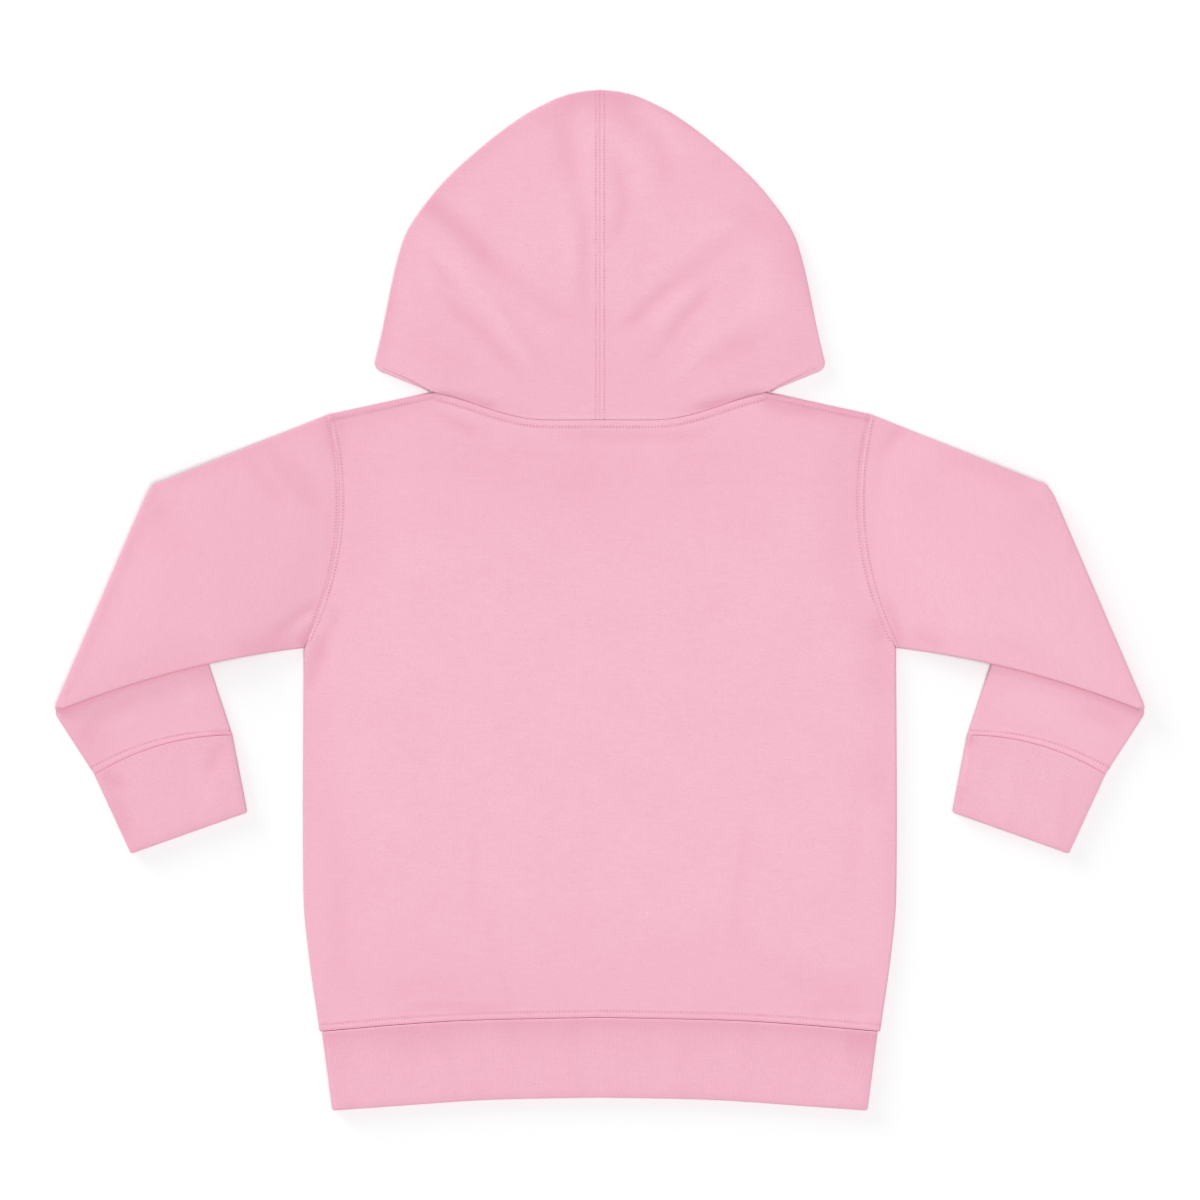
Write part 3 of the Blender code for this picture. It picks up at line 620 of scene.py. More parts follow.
def back_surface(u, share):
    """The back's outer face: its points, and its marks for painted shade and rows of stitches."""
    x, y, off = body_place(u, share, back_neck_y)
    at_neck = np.abs(u) * SHOULDER_TIP[0] < NECK_WIDTH
    slope = (back_neck_y(np.abs(x) + 1.0) - back_neck_y(np.abs(x) - 1.0)) / 2.0
    from_top = off["top"] / np.sqrt(1.0 + np.where(at_neck, slope, SHOULDER_SLOPE) ** 2)
    top_stitch = np.where(at_neck, NECK_STITCH, SHOULDER_STITCH)
    in_armhole = ease((y - ARMPIT[1]) / ARMHOLE_START)
    z = BACK_LIFT + LAYER + BACK_LOFT * (1.0 - u**4) * (1.0 - (2.0 * share - 1.0) ** 6)
    creased = crease_rise(BACK_CREASES, x, y)
    z = z + creased
    z = z + topstitched(from_top, top_stitch) + topstitched(off["waist"], WAIST_STITCH)
    z = z + topstitched(off["side"], ARMHOLE_STITCH) * in_armhole

    closed_drop = BACK_LIFT - AIR / 2  # where the back turns down to meet the front
    side_drop = turn_down(off["side"], SIDE_TURN, closed_drop)
    side_drop = blend(side_drop, turn_down(off["side"], SEAM_TURN, ARMHOLE_DIP), in_armhole)
    shoulder_drop = turn_down(from_top, SIDE_TURN, closed_drop)
    top_drop = np.where(at_neck, turn_down(from_top, SEAM_TURN, SEAM_DIP), shoulder_drop)
    z = z - np.maximum.reduce([side_drop, top_drop, turn_down(off["waist"], SEAM_TURN, SEAM_DIP)])

    # The armhole's stitches start a little above the armpit.
    armhole_off = np.where(in_armhole > 0.3, off["side"] - ARMHOLE_STITCH, FAR_FROM_STITCHES)
    stitch_off, stitch_run = nearest_row(
        (off["waist"] - WAIST_STITCH, x), (from_top - top_stitch, x), (armhole_off, y)
    )
    # Painted shade beside the seams and edges and in the creases.
    painted_shade = back_shade(x, off, from_top, in_armhole) - CREASE_SHADE * creased
    return np.stack([x, y, z], axis=-1), {"painted_shade": painted_shade, "stitch_off": stitch_off, "stitch_run": stitch_run}


u, share = body_grid(BACK_STEP)
points, marks = back_surface(u, share)
back_panel = cloth_piece("back_panel_cloth", points, points[:, :, :2], marks)
thicken(back_panel, CLOTH)
back_panel.data.materials.append(fleece)
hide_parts("back_panel")

# ---------------------------------------------------------------- sleeves
# Each sleeve is one tapering tube of fleece, set into the armhole and folded under at the elbow.
# The forearm passes beneath the upper sleeve, which climbs over it, and comes out below it.

SLEEVE_RADIUS = LAYER + 0.2  # half the height of the flattened tube
SLEEVE_LOFT = 1.3
FOLD_GAP = 0.3  # between the upper sleeve and the forearm under it
FOLD_REACH = 2 * SLEEVE_RADIUS + FOLD_GAP / 2
ELBOW_TOP = (238.2, 60.1)
ELBOW_TIP = (289.4, -58.9)
UNDERARM_BOW = 4.4
CUFF_SEAM_OUTER = (267.6, -92.5)
CUFF_SEAM_INNER = (194.7, -71.5)
CUFF_SEAM_BOW = 5.3
CLIMB_END = 9.0  # distance from the forearm at which the upper sleeve has climbed to its top
ARMHOLE_FADE = 0.7  # share of the upper sleeve over which the armhole's curve fades
FOLD_CLEAR = 0.3  # share of the upper sleeve, at the elbow, over which its loft fades
HIDDEN_DEPTH = 0.5  # of each crease, the share that shows on the layer beneath
SEAM_CLEAR = 26.0  # distance from the armhole over which it rises
SLEEVE_STITCH = 1.8  # from the armhole seam
SIDES = (("left", -1), ("right", 1))
SLEEVE_CREASES = {
    "left": (
        # from the top of the sleeve towards the armhole
        Crease(5, -0.35, ((-177, 84), (-168, 70), (-158, 58), (-146, 45))),
        Crease(4, -0.2, ((-186, 76), (-178, 63), (-166, 50))),
        Crease(3, -0.15, ((-166, 80), (-156, 66), (-147, 56))),
        Crease(4, -0.35, ((-145, 97), (-143, 88), (-141, 78))),
        # at the elbow
        Crease(3, -0.2, ((-233, 50), (-231, 42))),
        Crease(12, -0.18, ((-234, 54), (-228, 38), (-224, 20))),
        Crease(24, -0.1, ((-222, 50), (-196, 64), (-168, 76))),
        # under the arm
        Crease(3, -0.5, ((-146, 0), (-157, -6), (-167, -14), (-178, -20))),
        Crease(4, -0.7, ((-150, -14), (-156, -21), (-158, -26))),
        Crease(2, 0.3, ((-150, -7), (-157, -13), (-163, -19))),
        Crease(5, -0.45, ((-160, -22), (-175, -24), (-195, -27))),
        Crease(9, -0.15, ((-200, -28), (-235, -36), (-270, -46))),
    ),
    "right": (
        Crease(3, -0.35, ((162, 93), (155, 87), (150, 77))),
        Crease(6, -0.15, ((158, 94), (150, 84), (147, 70))),
        Crease(3, -0.15, ((149, 77), (147, 62), (146, 48))),
        Crease(3, -0.1, ((188, 76), (180, 68))),
        Crease(8, -0.25, ((184, 76), (206, 68), (230, 58))),
        Crease(10, -0.2, ((236, 54), (228, 44), (220, 30))),
        Crease(3, -0.5, ((151, 2), (155, -8), (159, -20), (161, -25))),
        Crease(4, -0.4, ((146, -6), (149, -14), (153, -22))),
        Crease(24, -0.2, ((162, 70), (194, 54), (226, 42))),
        Crease(2, 0.3, ((150, -4), (154, -16))),
        Crease(5, -0.4, ((164, -20), (174, -21), (184, -25))),
        Crease(3, -0.1, ((206, -21), (222, -27), (238, -34))),
    ),
}
FOREARM_CREASES = {
    "left": (
        Crease(4, -0.2, ((-272, -63), (-256, -58), (-240, -51))),
        Crease(14, -0.16, ((-278, -68), (-266, -76), (-258, -86))),
        Crease(7, -0.25, ((-276, -70), (-265, -74))),
        Crease(4, 0.15, ((-256, -68), (-244, -58))),
        Crease(5, 0.15, ((-221, -60), (-216, -50), (-215, -44))),
        Crease(4, -0.15, ((-236, -52), (-228, -48))),
        Crease(3, -0.4, ((-206, -70), (-198, -72), (-195, -76))),
    ),
    "right": (
        Crease(5, -0.35, ((252, -56), (264, -61), (280, -68))),
        Crease(2, -0.15, ((205, -65), (226, -68), (246, -76), (256, -81))),
        Crease(6, 0.08, ((210, -52), (232, -54), (250, -60))),
    ),
}
SLEEVE_PAINTED_SHADE = {"left": 0.1, "right": 0.01}  # painted shade: how much darker than the body each sleeve is painted, the left more than the right
SLEEVE_SHADE = SeamShade(line=-0.35, ridge=0.03, ridge_at=1.0, hollow=0.18)  # beside the armhole
FOREARM_SHADE = SeamShade(line=0.4, ridge=0.03, ridge_at=1.6)  # beside the cuff
FOLD_SHADE = 0.45  # painted shadow of the upper sleeve on the forearm, at the tip, right below its edge
FOLD_SHADE_AT_BODY = 0.2  # share of that where the forearm comes out nearest the body
FOLD_SHADE_REACH = (1.4, 6.0)  # below the upper sleeve, there and at the tip
ELBOW_INSIDE = (225.0, 0.0)  # the place that the elbow's corners are drawn in towards
CORNER_REACH = 7.0
CORNER_DRAW = 1.3
SLEEVE_WIDTH = 110.0  # at its middle
UPPER_STEP = 2.4  # of the mesh, along the upper sleeve and across it
UNDER_STEP = 2.6
TURN_STEPS = 14  # of the mesh, round a turned edge
UNDER_ARM_END = 207.0  # X where the forearm comes out from under the upper sleeve
SQUARENESS = 0.6  # 1 is a round turn, and less is flatter on top with a tighter edge
FOLD_SQUARENESS = 0.4


def square_turn(turn, squareness=SQUARENESS):
    """The sideways and upward parts of a turn from straight up, through sideways, to straight down."""
    aside, up = np.sin(turn), np.cos(turn)
    return np.sign(aside) * np.abs(aside) ** squareness, np.sign(up) * np.abs(up) ** squareness


def tube_columns(top, bottom, edge):
    """The columns round a flattened tube: across from 0 to 1, and the turn's sideways and upward parts.

    top and bottom are shares across each layer, and edge is the number of steps round each edge.
    """
    aside_turn, up_turn = square_turn(np.linspace(0.0, pi, edge, endpoint=False)[1:])
    across = [top, np.ones_like(up_turn), bottom[::-1], np.zeros_like(up_turn)]
    aside = [np.zeros_like(top), aside_turn, np.zeros_like(bottom), -aside_turn]
    up = [np.ones_like(top), up_turn, -np.ones_like(bottom), -up_turn]
    return (np.concatenate(part) for part in (across, aside, up))


def fold_way_out():
    """The level direction square to the elbow's fold, away from the body."""
    length = apart(ELBOW_TIP, ELBOW_TOP)
    return (ELBOW_TOP[1] - ELBOW_TIP[1]) / length, (ELBOW_TIP[0] - ELBOW_TOP[0]) / length


def beside_fold(corner, edge_end):
    """The place on the edge from a corner of the fold to edge_end that lies over the fold's axis."""
    out = fold_way_out()
    dx, dy = edge_end[0] - corner[0], edge_end[1] - corner[1]
    back = FOLD_REACH / -(dx * out[0] + dy * out[1])
    return corner[0] + dx * back, corner[1] + dy * back


def climb(x, y, off):
    """How high the upper sleeve's underside stands: from the table at the armhole to the forearm."""
    dx, dy = CUFF_SEAM_INNER[0] - ELBOW_TOP[0], CUFF_SEAM_INNER[1] - ELBOW_TOP[1]
    inward = ((x - ELBOW_TOP[0]) * dy - (y - ELBOW_TOP[1]) * dx) / hypot(dx, dy)
    to_go = np.maximum(inward - CLIMB_END, 0.0) + 0.01  # never nothing, as it is divided by
    return (2 * SLEEVE_RADIUS + FOLD_GAP) * ease(off / (off + to_go))


def between(a, b, share):
    """The place at this share of the way from a to b."""
    return blend(a[0], b[0], share), blend(a[1], b[1], share)


def tube_slice(columns, start, end, bow):
    """Plan points and heights round one slice of the sleeve."""
    across, aside, up = columns
    distance = SLEEVE_RADIUS + across * (apart(start, end) - 2 * SLEEVE_RADIUS) + aside * SLEEVE_RADIUS
    x, y = along_slice(start, end, bow, distance)
    return x, y, SLEEVE_RADIUS * (1.0 + up), distance


armhole_start, armhole_end = armhole(0.0, SEAM_GAP / 2), armhole(1.0, SEAM_GAP / 2)
fold_start, fold_end = beside_fold(ELBOW_TIP, armhole_start), beside_fold(ELBOW_TOP, armhole_end)
under_start, under_end = beside_fold(ELBOW_TIP, CUFF_SEAM_OUTER), beside_fold(ELBOW_TOP, CUFF_SEAM_INNER)

UPPER_LENGTHS = apart(armhole_start, fold_start), apart(armhole_end, fold_end)  # underarm, top
UNDER_LENGTHS = apart(under_start, CUFF_SEAM_OUTER), apart(under_end, CUFF_SEAM_INNER)
UPPER_LENGTH, UNDER_LENGTH = max(UPPER_LENGTHS), max(UNDER_LENGTHS)
CUFF_STITCH = (4.0, 2.6)  # from the cuff seam, at the outer edge and the inner one
EDGE_FADE = 1 / 8  # share of the sleeve's width, at each edge, over which creases fade


def from_armhole(across, share):
    """The distance from the armhole seam, this share along the upper sleeve."""
    return share * blend(*UPPER_LENGTHS, across)


def from_cuff(across, share):
    """The distance from the cuff seam, this share along the forearm."""
    return (1.0 - share) * blend(*UNDER_LENGTHS, across)


def upper_slice(columns, share, creases, side):
    """A slice of the upper sleeve, share from 0 at the armhole to 1 at the fold."""
    start_x, start_y = between(armhole_start, fold_start, share)
    start = (start_x, start_y + UNDERARM_BOW * arch(share))
    end = between(armhole_end, fold_end, share)
    x, y, z, distance = tube_slice(columns, start, end, ARMHOLE_BOW * (1 - ease(share / ARMHOLE_FADE)))
    across, _, up = columns
    off = from_armhole(across, share)
    creased = crease_rise(creases, side * x, y)
    lift = SLEEVE_LOFT * arch(across) * ease(off / SEAM_CLEAR) + creased
    lift = lift * ease((1 - share) / FOLD_CLEAR) * ease(np.minimum(across, 1 - across) / EDGE_FADE)
    lift = lift + topstitched(off, SLEEVE_STITCH) - turn_down(off, SEAM_TURN, ARMHOLE_DIP)
    pressed_in = np.maximum(-creased, 0.0) * HIDDEN_DEPTH
    z = z + np.where(up == 1.0, lift, 0.0) + np.where(up == -1.0, pressed_in, 0.0)
    return x, y, climb(x, y, off) + z, distance


def turned_slice(columns, start, end, bow, turn):
    """A slice turned about the fold's axis, by pi when it lies under the upper sleeve."""
    out = fold_way_out()
    x, y, height, distance = tube_slice(columns, start, end, bow)
    reach = height + FOLD_GAP / 2
    aside, up = square_turn(turn, FOLD_SQUARENESS)
    away = reach * np.abs(aside)
    return x + out[0] * away, y + out[1] * away, FOLD_REACH + reach * up, distance


def under_slice(columns, share, creases, side):
    """A slice of the forearm, share from 0 at the fold to 1 at the cuff seam."""
    start, end = between(under_start, CUFF_SEAM_OUTER, share), between(under_end, CUFF_SEAM_INNER, share)
    x, y, z, distance = turned_slice(columns, start, end, -CUFF_SEAM_BOW * ease(share), pi)
    across, _, up = columns
    off = from_cuff(across, share)
    relief = topstitched(off, blend(*CUFF_STITCH, across)) - turn_down(off, SEAM_TURN, SEAM_DIP)
    relief = relief + crease_rise(creases, side * x, y) * ease(np.minimum(across, 1 - across) / EDGE_FADE)
    return x, y, z + np.where(up == -1.0, relief, 0.0), distance


def under_arm_y(x):
    """The upper sleeve's lower edge, which lies across the forearm."""
    share = (x - ARMPIT[0]) / (ELBOW_TIP[0] - ARMPIT[0])
    return blend(ARMPIT[1], ELBOW_TIP[1], share) + UNDERARM_BOW * arch(share)


def fold_shade(x, y):
    """Painted shadow on the forearm below the upper sleeve that lies across it."""
    to_tip = np.clip((x - UNDER_ARM_END) / (ELBOW_TIP[0] - UNDER_ARM_END), 0.0, 1.0)
    below_edge = np.maximum(under_arm_y(x) - y, 0.0)
    strength = FOLD_SHADE * blend(FOLD_SHADE_AT_BODY, 1.0, to_tip)
    return strength * bell(below_edge, blend(*FOLD_SHADE_REACH, to_tip**2))


def rounded_corner(x, y, corner):
    """The places with the elbow's corner drawn in towards the middle of the sleeve."""
    way_x, way_y = ELBOW_INSIDE[0] - corner[0], ELBOW_INSIDE[1] - corner[1]
    near = np.maximum(1.0 - np.hypot(x - corner[0], y - corner[1]) / CORNER_REACH, 0.0) ** 2
    drawn_in = CORNER_DRAW * near / hypot(way_x, way_y)
    return x + way_x * drawn_in, y + way_y * drawn_in


def sleeve_rows():
    """Every slice of the sleeve: which stretch it is in, and its share along that stretch."""
    upper = close_steps(UPPER_LENGTH, UPPER_STEP) / UPPER_LENGTH
    fold = np.linspace(0.0, 1.0, TURN_STEPS + 1)[1:-1]
    under = close_steps(UNDER_LENGTH, UNDER_STEP) / UNDER_LENGTH
    stretches = ("upper", upper), ("fold", fold), ("under", under)
    return [(stretch, share) for stretch, shares in stretches for share in shares]


def make_sleeve(name, side, upper_creases, under_creases, painted_side_shade):
    """A folded sleeve, made slice by slice from the armhole round the elbow to the cuff."""
    layer = close_steps(SLEEVE_WIDTH, UPPER_STEP) / SLEEVE_WIDTH
    columns = tuple(tube_columns(layer, layer, TURN_STEPS))
    across, aside, _ = columns
    rows, places, marks = [], [], {"painted_shade": [], "stitch_off": [], "stitch_run": []}
    for stretch, share in sleeve_rows():
        if stretch == "upper":
            x, y, z, distance = upper_slice(columns, share, upper_creases, side)
            from_seam, from_fold = share * UPPER_LENGTH, (1 - share) * UPPER_LENGTH
            off = from_armhole(across, share)
            stitch_off = off - SLEEVE_STITCH
            painted_shade = seam_shade(off, SLEEVE_SHADE) - CREASE_SHADE * crease_rise(upper_creases, side * x, y)
        elif stretch == "fold":
            ends = between(fold_start, under_start, share), between(fold_end, under_end, share)
            x, y, z, distance = turned_slice(columns, *ends, 0.0, pi * share)
            from_seam, from_fold = UPPER_LENGTH + share * pi * SLEEVE_RADIUS, 0.0
            stitch_off, painted_shade = FAR_FROM_STITCHES, 0.0
        else:
            x, y, z, distance = under_slice(columns, share, under_creases, side)
            from_fold = share * UNDER_LENGTH
            from_seam = UPPER_LENGTH + pi * SLEEVE_RADIUS + from_fold
            off = from_cuff(across, share)
            stitch_off = off - blend(*CUFF_STITCH, across)
            painted_shade = seam_shade(off, FOREARM_SHADE) - CREASE_SHADE * crease_rise(under_creases, side * x, y)
            # Painted shadow of the upper sleeve on the forearm.
            painted_shade = painted_shade + fold_shade(x, y)
        for corner in (ELBOW_TOP, ELBOW_TIP):
            x, y = rounded_corner(x, y, corner)
        rows.append(np.stack([side * x, y, z], axis=1))
        round_tube = across * SLEEVE_WIDTH + aside * SLEEVE_RADIUS
        places.append(np.stack([round_tube, np.full_like(x, from_seam)], axis=1))
        from_edge = np.minimum(np.minimum(distance, distance.max() - distance), from_fold)
        # The sleeve's painted shade: its side's, its seams', creases' and shadow's, and its edges'.
        marks["painted_shade"].append(painted_side_shade + painted_shade + edge_shade(from_edge))
        marks["stitch_off"].append(stitch_off + 0.0 * x)
        marks["stitch_run"].append(distance)
    points, places = np.array(rows), np.array(places)
    marks = {mark: np.array(values) for mark, values in marks.items()}
    return cloth_piece(name, points, places, marks, round_columns=True, flip=side > 0)


for side_name, side in SIDES:
    creases = SLEEVE_CREASES[side_name], FOREARM_CREASES[side_name]
    sleeve = make_sleeve("sleeve_" + side_name + "_cloth", side, *creases, SLEEVE_PAINTED_SHADE[side_name])
    thicken(sleeve, CLOTH)
    sleeve.data.materials.append(fleece)
    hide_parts("sleeve_" + side_name)

# ---------------------------------------------------------------- cuffs and waistband
# The cuffs and the waistband are tubes of fine 1x1 rib knit, doubled over at the open end, so that
# both raw edges are in the seam. They are a little shorter than the edge that they gather in.

BAND_WALL = 2.2
BAND_RADIUS = BAND_WALL + 0.2
RIB_PITCH = 1.15
RIB_HEIGHT = 0.2
RIB_ROUNDNESS = 0.7  # less is flatter on top, with a tighter groove
RIB_COLUMNS = 4  # columns of the mesh in each rib, on the layer that shows
HIDDEN_RIB_COLUMNS = 2
WAISTBAND_TOP_HALF = 147.1
WAISTBAND_HEM_HALF = 141.6
HEM = (  # X, Y
    Row(0.0, -263.4),
    Row(46.0, -264.2),
    Row(70.0, -265.2),
    Row(105.0, -267.7),
    Row(141.6, -270.3),
)
CUFF_END_OUTER = (248.3, -134.3)
CUFF_END_INNER = (186.8, -112.5)
RIB_PINK = (0.81, 0.432, 0.532)

rib_knit = knit_cloth("pink rib knit", RIB_PINK, column=RIB_PITCH, flecks=0.2, ribs=0.5)


def waist_top(share):
    """The place at this share of the way across the waistband's seam."""
    x = blend(-WAISTBAND_TOP_HALF, WAISTBAND_TOP_HALF, share)
    return x, read_rows(WAIST_SEAM, np.abs(x) * WAIST_HALF / WAISTBAND_TOP_HALF) - SEAM_GAP / 2


def waist_hem(share):
    """The same across its hem."""
    x = blend(-WAISTBAND_HEM_HALF, WAISTBAND_HEM_HALF, share)
    return x, read_rows(HEM, np.abs(x))


def cuff_seam(share):
    """The place at this share of the way across the cuff's seam."""
    distance = share * apart(CUFF_SEAM_OUTER, CUFF_SEAM_INNER)
    x, y = along_slice(CUFF_SEAM_OUTER, CUFF_SEAM_INNER, -CUFF_SEAM_BOW, distance)
    return x, y - SEAM_GAP


def cuff_end(share):
    """The same across its open end."""
    return between(CUFF_END_OUTER, CUFF_END_INNER, share)


def band_rows(length):
    """Rows from the seam to the hem, round it and back inside: share along, and depth in the wall."""
    half_wall = BAND_WALL / 2
    turn_at = length - half_wall
    beside_seam = [0.0, 0.1, 0.25, 0.5, 0.8, 1.1, 1.6, 2.2, 3.0]
    outside = np.concatenate([beside_seam, np.linspace(4.0, turn_at, 13)])
    turn = np.linspace(0.0, pi, 9)[1:-1]
    inside = np.array([turn_at, length / 2, SEAM_TURN])
    along = np.concatenate([outside, turn_at + half_wall * np.sin(turn), inside])
    depth = [np.zeros_like(outside), half_wall * (1 - np.cos(turn)), np.full_like(inside, BAND_WALL)]
    depth = np.concatenate(depth)
    return along / length, depth


def rib_relief(in_ribs):
    """How high the ribs stand, this many ribs across. Two long waves make some lower than others."""
    unevenness = 0.75 + 0.25 * np.sin(in_ribs * 0.31) * np.sin(in_ribs * 0.083 + 1.0)
    return np.abs(np.sin(pi * in_ribs)) ** RIB_ROUNDNESS * unevenness * RIB_HEIGHT


def make_band(name, top_line, end_line, side, creases, shade, painted_side_shade=0.0):
    """A doubled tube of rib lying flat. The lines give plan points at a share of the way across."""
    length = apart(top_line(0.5), end_line(0.5))
    ribs = round(apart(top_line(0.0), top_line(1.0)) / RIB_PITCH)
    top_columns = np.linspace(0.0, 1.0, ribs * RIB_COLUMNS + 1)
    bottom_columns = np.linspace(0.0, 1.0, ribs * HIDDEN_RIB_COLUMNS + 1)
    across, aside, up = tube_columns(top_columns, bottom_columns, TURN_STEPS)
    share, depth = (a[:, None] for a in band_rows(length))
    radius = BAND_RADIUS - depth
    start, end = between(top_line(0.0), end_line(0.0), share), between(top_line(1.0), end_line(1.0), share)
    slice_length = np.hypot(end[0] - start[0], end[1] - start[1])
    distance = BAND_RADIUS + across * (slice_length - 2 * BAND_RADIUS) + aside * radius
    reach = distance / slice_length
    x, y = between(top_line(reach), end_line(reach), share)
    from_seam = share * length
    shows = (up == 1.0) & (depth == 0.0)
    creased = crease_rise(creases, side * x, y)
    lift = rib_relief(across * ribs) + creased - turn_down(from_seam, SEAM_TURN, SEAM_DIP)
    z = BAND_RADIUS + radius * up + lift * shows
    from_edge = np.minimum(np.minimum(distance, slice_length - distance), length - from_seam)
    # Painted shade of the band: its side's, its edges', its seam's and its creases'.
    painted_shade = painted_side_shade + edge_shade(from_edge) + seam_shade(from_seam, shade) - CREASE_SHADE * creased
    place = np.stack([across * ribs * RIB_PITCH + aside * radius, from_seam + 0.0 * reach], axis=2)
    points = np.stack([side * x, y, z], axis=2)
    return cloth_piece(name, points, place, {"painted_shade": painted_shade}, True, True, flip=side > 0)


CUFF_CREASES = {
    "left": (
        Crease(4, -0.5, ((-264, -92), (-257, -96), (-250, -97))),
        Crease(3, -0.3, ((-262, -88), (-255, -84), (-248, -82))),
        Crease(5, -0.3, ((-260, -100), (-254, -114), (-249, -128))),
        Crease(3, -0.4, ((-197, -76), (-204, -82), (-208, -92))),
        Crease(5, 0.15, ((-206, -98), (-208, -110))),
    ),
    "right": (
        Crease(3, -0.6, ((195, -72), (198, -78))),
        Crease(4, -0.3, ((192, -96), (189, -110))),
        Crease(4, -0.2, ((250, -92), (247, -106), (245, -124))),
    ),
}
WAISTBAND_CREASES = (
    Crease(6, -0.2, ((-116, -234), (-96, -236), (-74, -235))),
    Crease(5, -0.1, ((-60, -232), (-30, -231), (0, -231))),
    Crease(6, -0.3, ((128, -236), (146, -235))),
    Crease(6, -0.2, ((132, -250), (142, -244))),
)
# Painted shade and painted light beside the cuff and waist seams: the waistband's seam line is painted
# paler and its hollow darker.
CUFF_SHADE = SeamShade(line=0.1, ridge=0.05, ridge_at=1.0, hollow=0.05)
WAISTBAND_SHADE = SeamShade(line=-0.9, ridge=0.25, ridge_at=1.0, hollow=0.6)
# Painted shade of each cuff as a whole, below zero paler: the right one is painted paler.
CUFF_PAINTED_SHADE = {"left": 0.0, "right": -0.1}

for side_name, side in SIDES:
    creases = CUFF_CREASES[side_name]
    lines = cuff_seam, cuff_end
    cuff = make_band("cuff_" + side_name + "_rib", *lines, side, creases, CUFF_SHADE, CUFF_PAINTED_SHADE[side_name])
    cuff.data.materials.append(rib_knit)
    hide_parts("cuff_" + side_name)
waistband = make_band("waistband_rib", waist_top, waist_hem, 1, WAISTBAND_CREASES, WAISTBAND_SHADE)
waistband.data.materials.append(rib_knit)
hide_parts("waistband")

# ---------------------------------------------------------------- hood
# The hood is two curved halves of fleece, sewn together over the head and round the neck. It is
# spread flat, so each half runs out to the silhouette and turns back under to the face opening.

HOOD_RADIUS = LAYER + 0.2
HOOD_LOFT = 1.5
FOLD_FADE = 1 / 6  # share of each layer, at the silhouette, over which the creases fade
NECK_END = 87.5  # the hood stops this far out along the neck
UPRIGHT_COLUMNS = 6.0  # distance from the centre seam in which the mesh's columns run along it
SEAM_COLUMNS = (0.08, 0.2, 0.4, 0.8, 1.2, 1.6, 2.0, 2.4, 2.8, 3.2, 3.6, 4.2, 5.0)  # X of more of them
NEAR_CENTRE = 30  # the number of stations, counted from the centre seam, over which X grows steadily
HOOD_STEP = 2.4  # of the mesh, from the neck to the silhouette
HOOD_LONGEST = 175.0  # the longest way from the neck to the silhouette
LAST_ROW = 2.4  # distance from the turn, which has rows of its own, to the last of the fine rows
UNDER_ROWS = 25
HOOD_STITCH = 2.2  # from the centre seam, on both sides
HOLES_OFF = 0.35  # least distance from the row at which its needle holes' painted shade is drawn, which keeps it faint
HOOD_SIDE = (  # X, Y of the silhouette, from the centre seam down to the lower corner
    (0.0, 270.0),
    (10.0, 269.0),
    (20.0, 266.5),
    (30.0, 262.0),
    (40.0, 256.5),
    (56.0, 245.0),
    (78.0, 226.0),
    (92.0, 210.0),
    (102.0, 195.0),
    (107.0, 180.5),
    (110.5, 165.5),
    (115.5, 141.0),
    (119.0, 126.5),
)
CHEEK = 0.87  # share of HOOD_SIDE at which the lower layer's front neck starts
JAW = 0.9  # and at which it ends
HOOD_CORNER = ((119.0, 126.5), (119.0, 124.5), (118.0, 122.5), (116.0, 121.0), (113.2, 119.9))
HOOD_LOWER_END = (90.6, 110.7)
FRONT_NECK_END = 86.4
GATHER = (90.0, 112.7)  # where the lower layer gathers at the shoulder
GATHER_RADIUS = 0.6
LOWER_EDGE = 24.0  # length of the lower edge, along which the turn flattens towards the neck
FLATTENED = 0.2  # share of the turn's radius that is left there
FACE_OPENING = (  # X, Y from its top down to the centre front
    (0.0, 236.0),
    (28.0, 229.0),
    (52.0, 207.0),
    (62.0, 172.0),
    (54.0, 132.0),
    (28.0, 94.0),
    (0.0, 66.3),
)
NECK_RIDGE = 0.15  # height of the seam allowance above the neck
NECK_RIDGE_AT = 1.3
NECK_RIDGE_WIDTH = 0.7
CENTRE_RELIEF = 0.4  # how strong the centre seam's relief is, where the other seams' is 1
HOOD_NECK_SHADE = SeamShade(line=-0.5, ridge=0.12, ridge_at=0.9)
HOOD_NECK_SIDE_SHADE = 0.25  # more painted shade on both sides of the neckline's level middle
HOOD_NECK_SIDE_START = 30.0  # width over which that comes in
HOOD_NECK_SIDE_REACH = 5.0  # distance from the seam over which it fades
CENTRE_SHADE = SeamShade(line=0.15, ridge=0.08, ridge_at=1.1)
BESIDE_STITCH_SHADE = SeamShade(line=0.0, ridge=0.04, ridge_at=HOOD_STITCH + 1.2)
LOWER_EDGE_PAINTED_LIGHT = 0.4  # painted light: how much paler the lower edge is painted than the other edges
LOWER_EDGE_WIDTH = 2.5
LOWER_EDGE_START = 6.0  # height of the corner over which that comes in
MIDDLE_CREASES = (  # shared by both halves
    Crease(6, -0.6, ((-26, 265), (0, 268), (26, 265))),
    Crease(5, -0.3, ((-2, 264), (0, 252))),
    Crease(12, -0.15, ((-22, 148), (-4, 142), (12, 144))),
    Crease(22, -0.2, ((-60, 112), (-20, 116), (20, 116), (60, 112))),
)
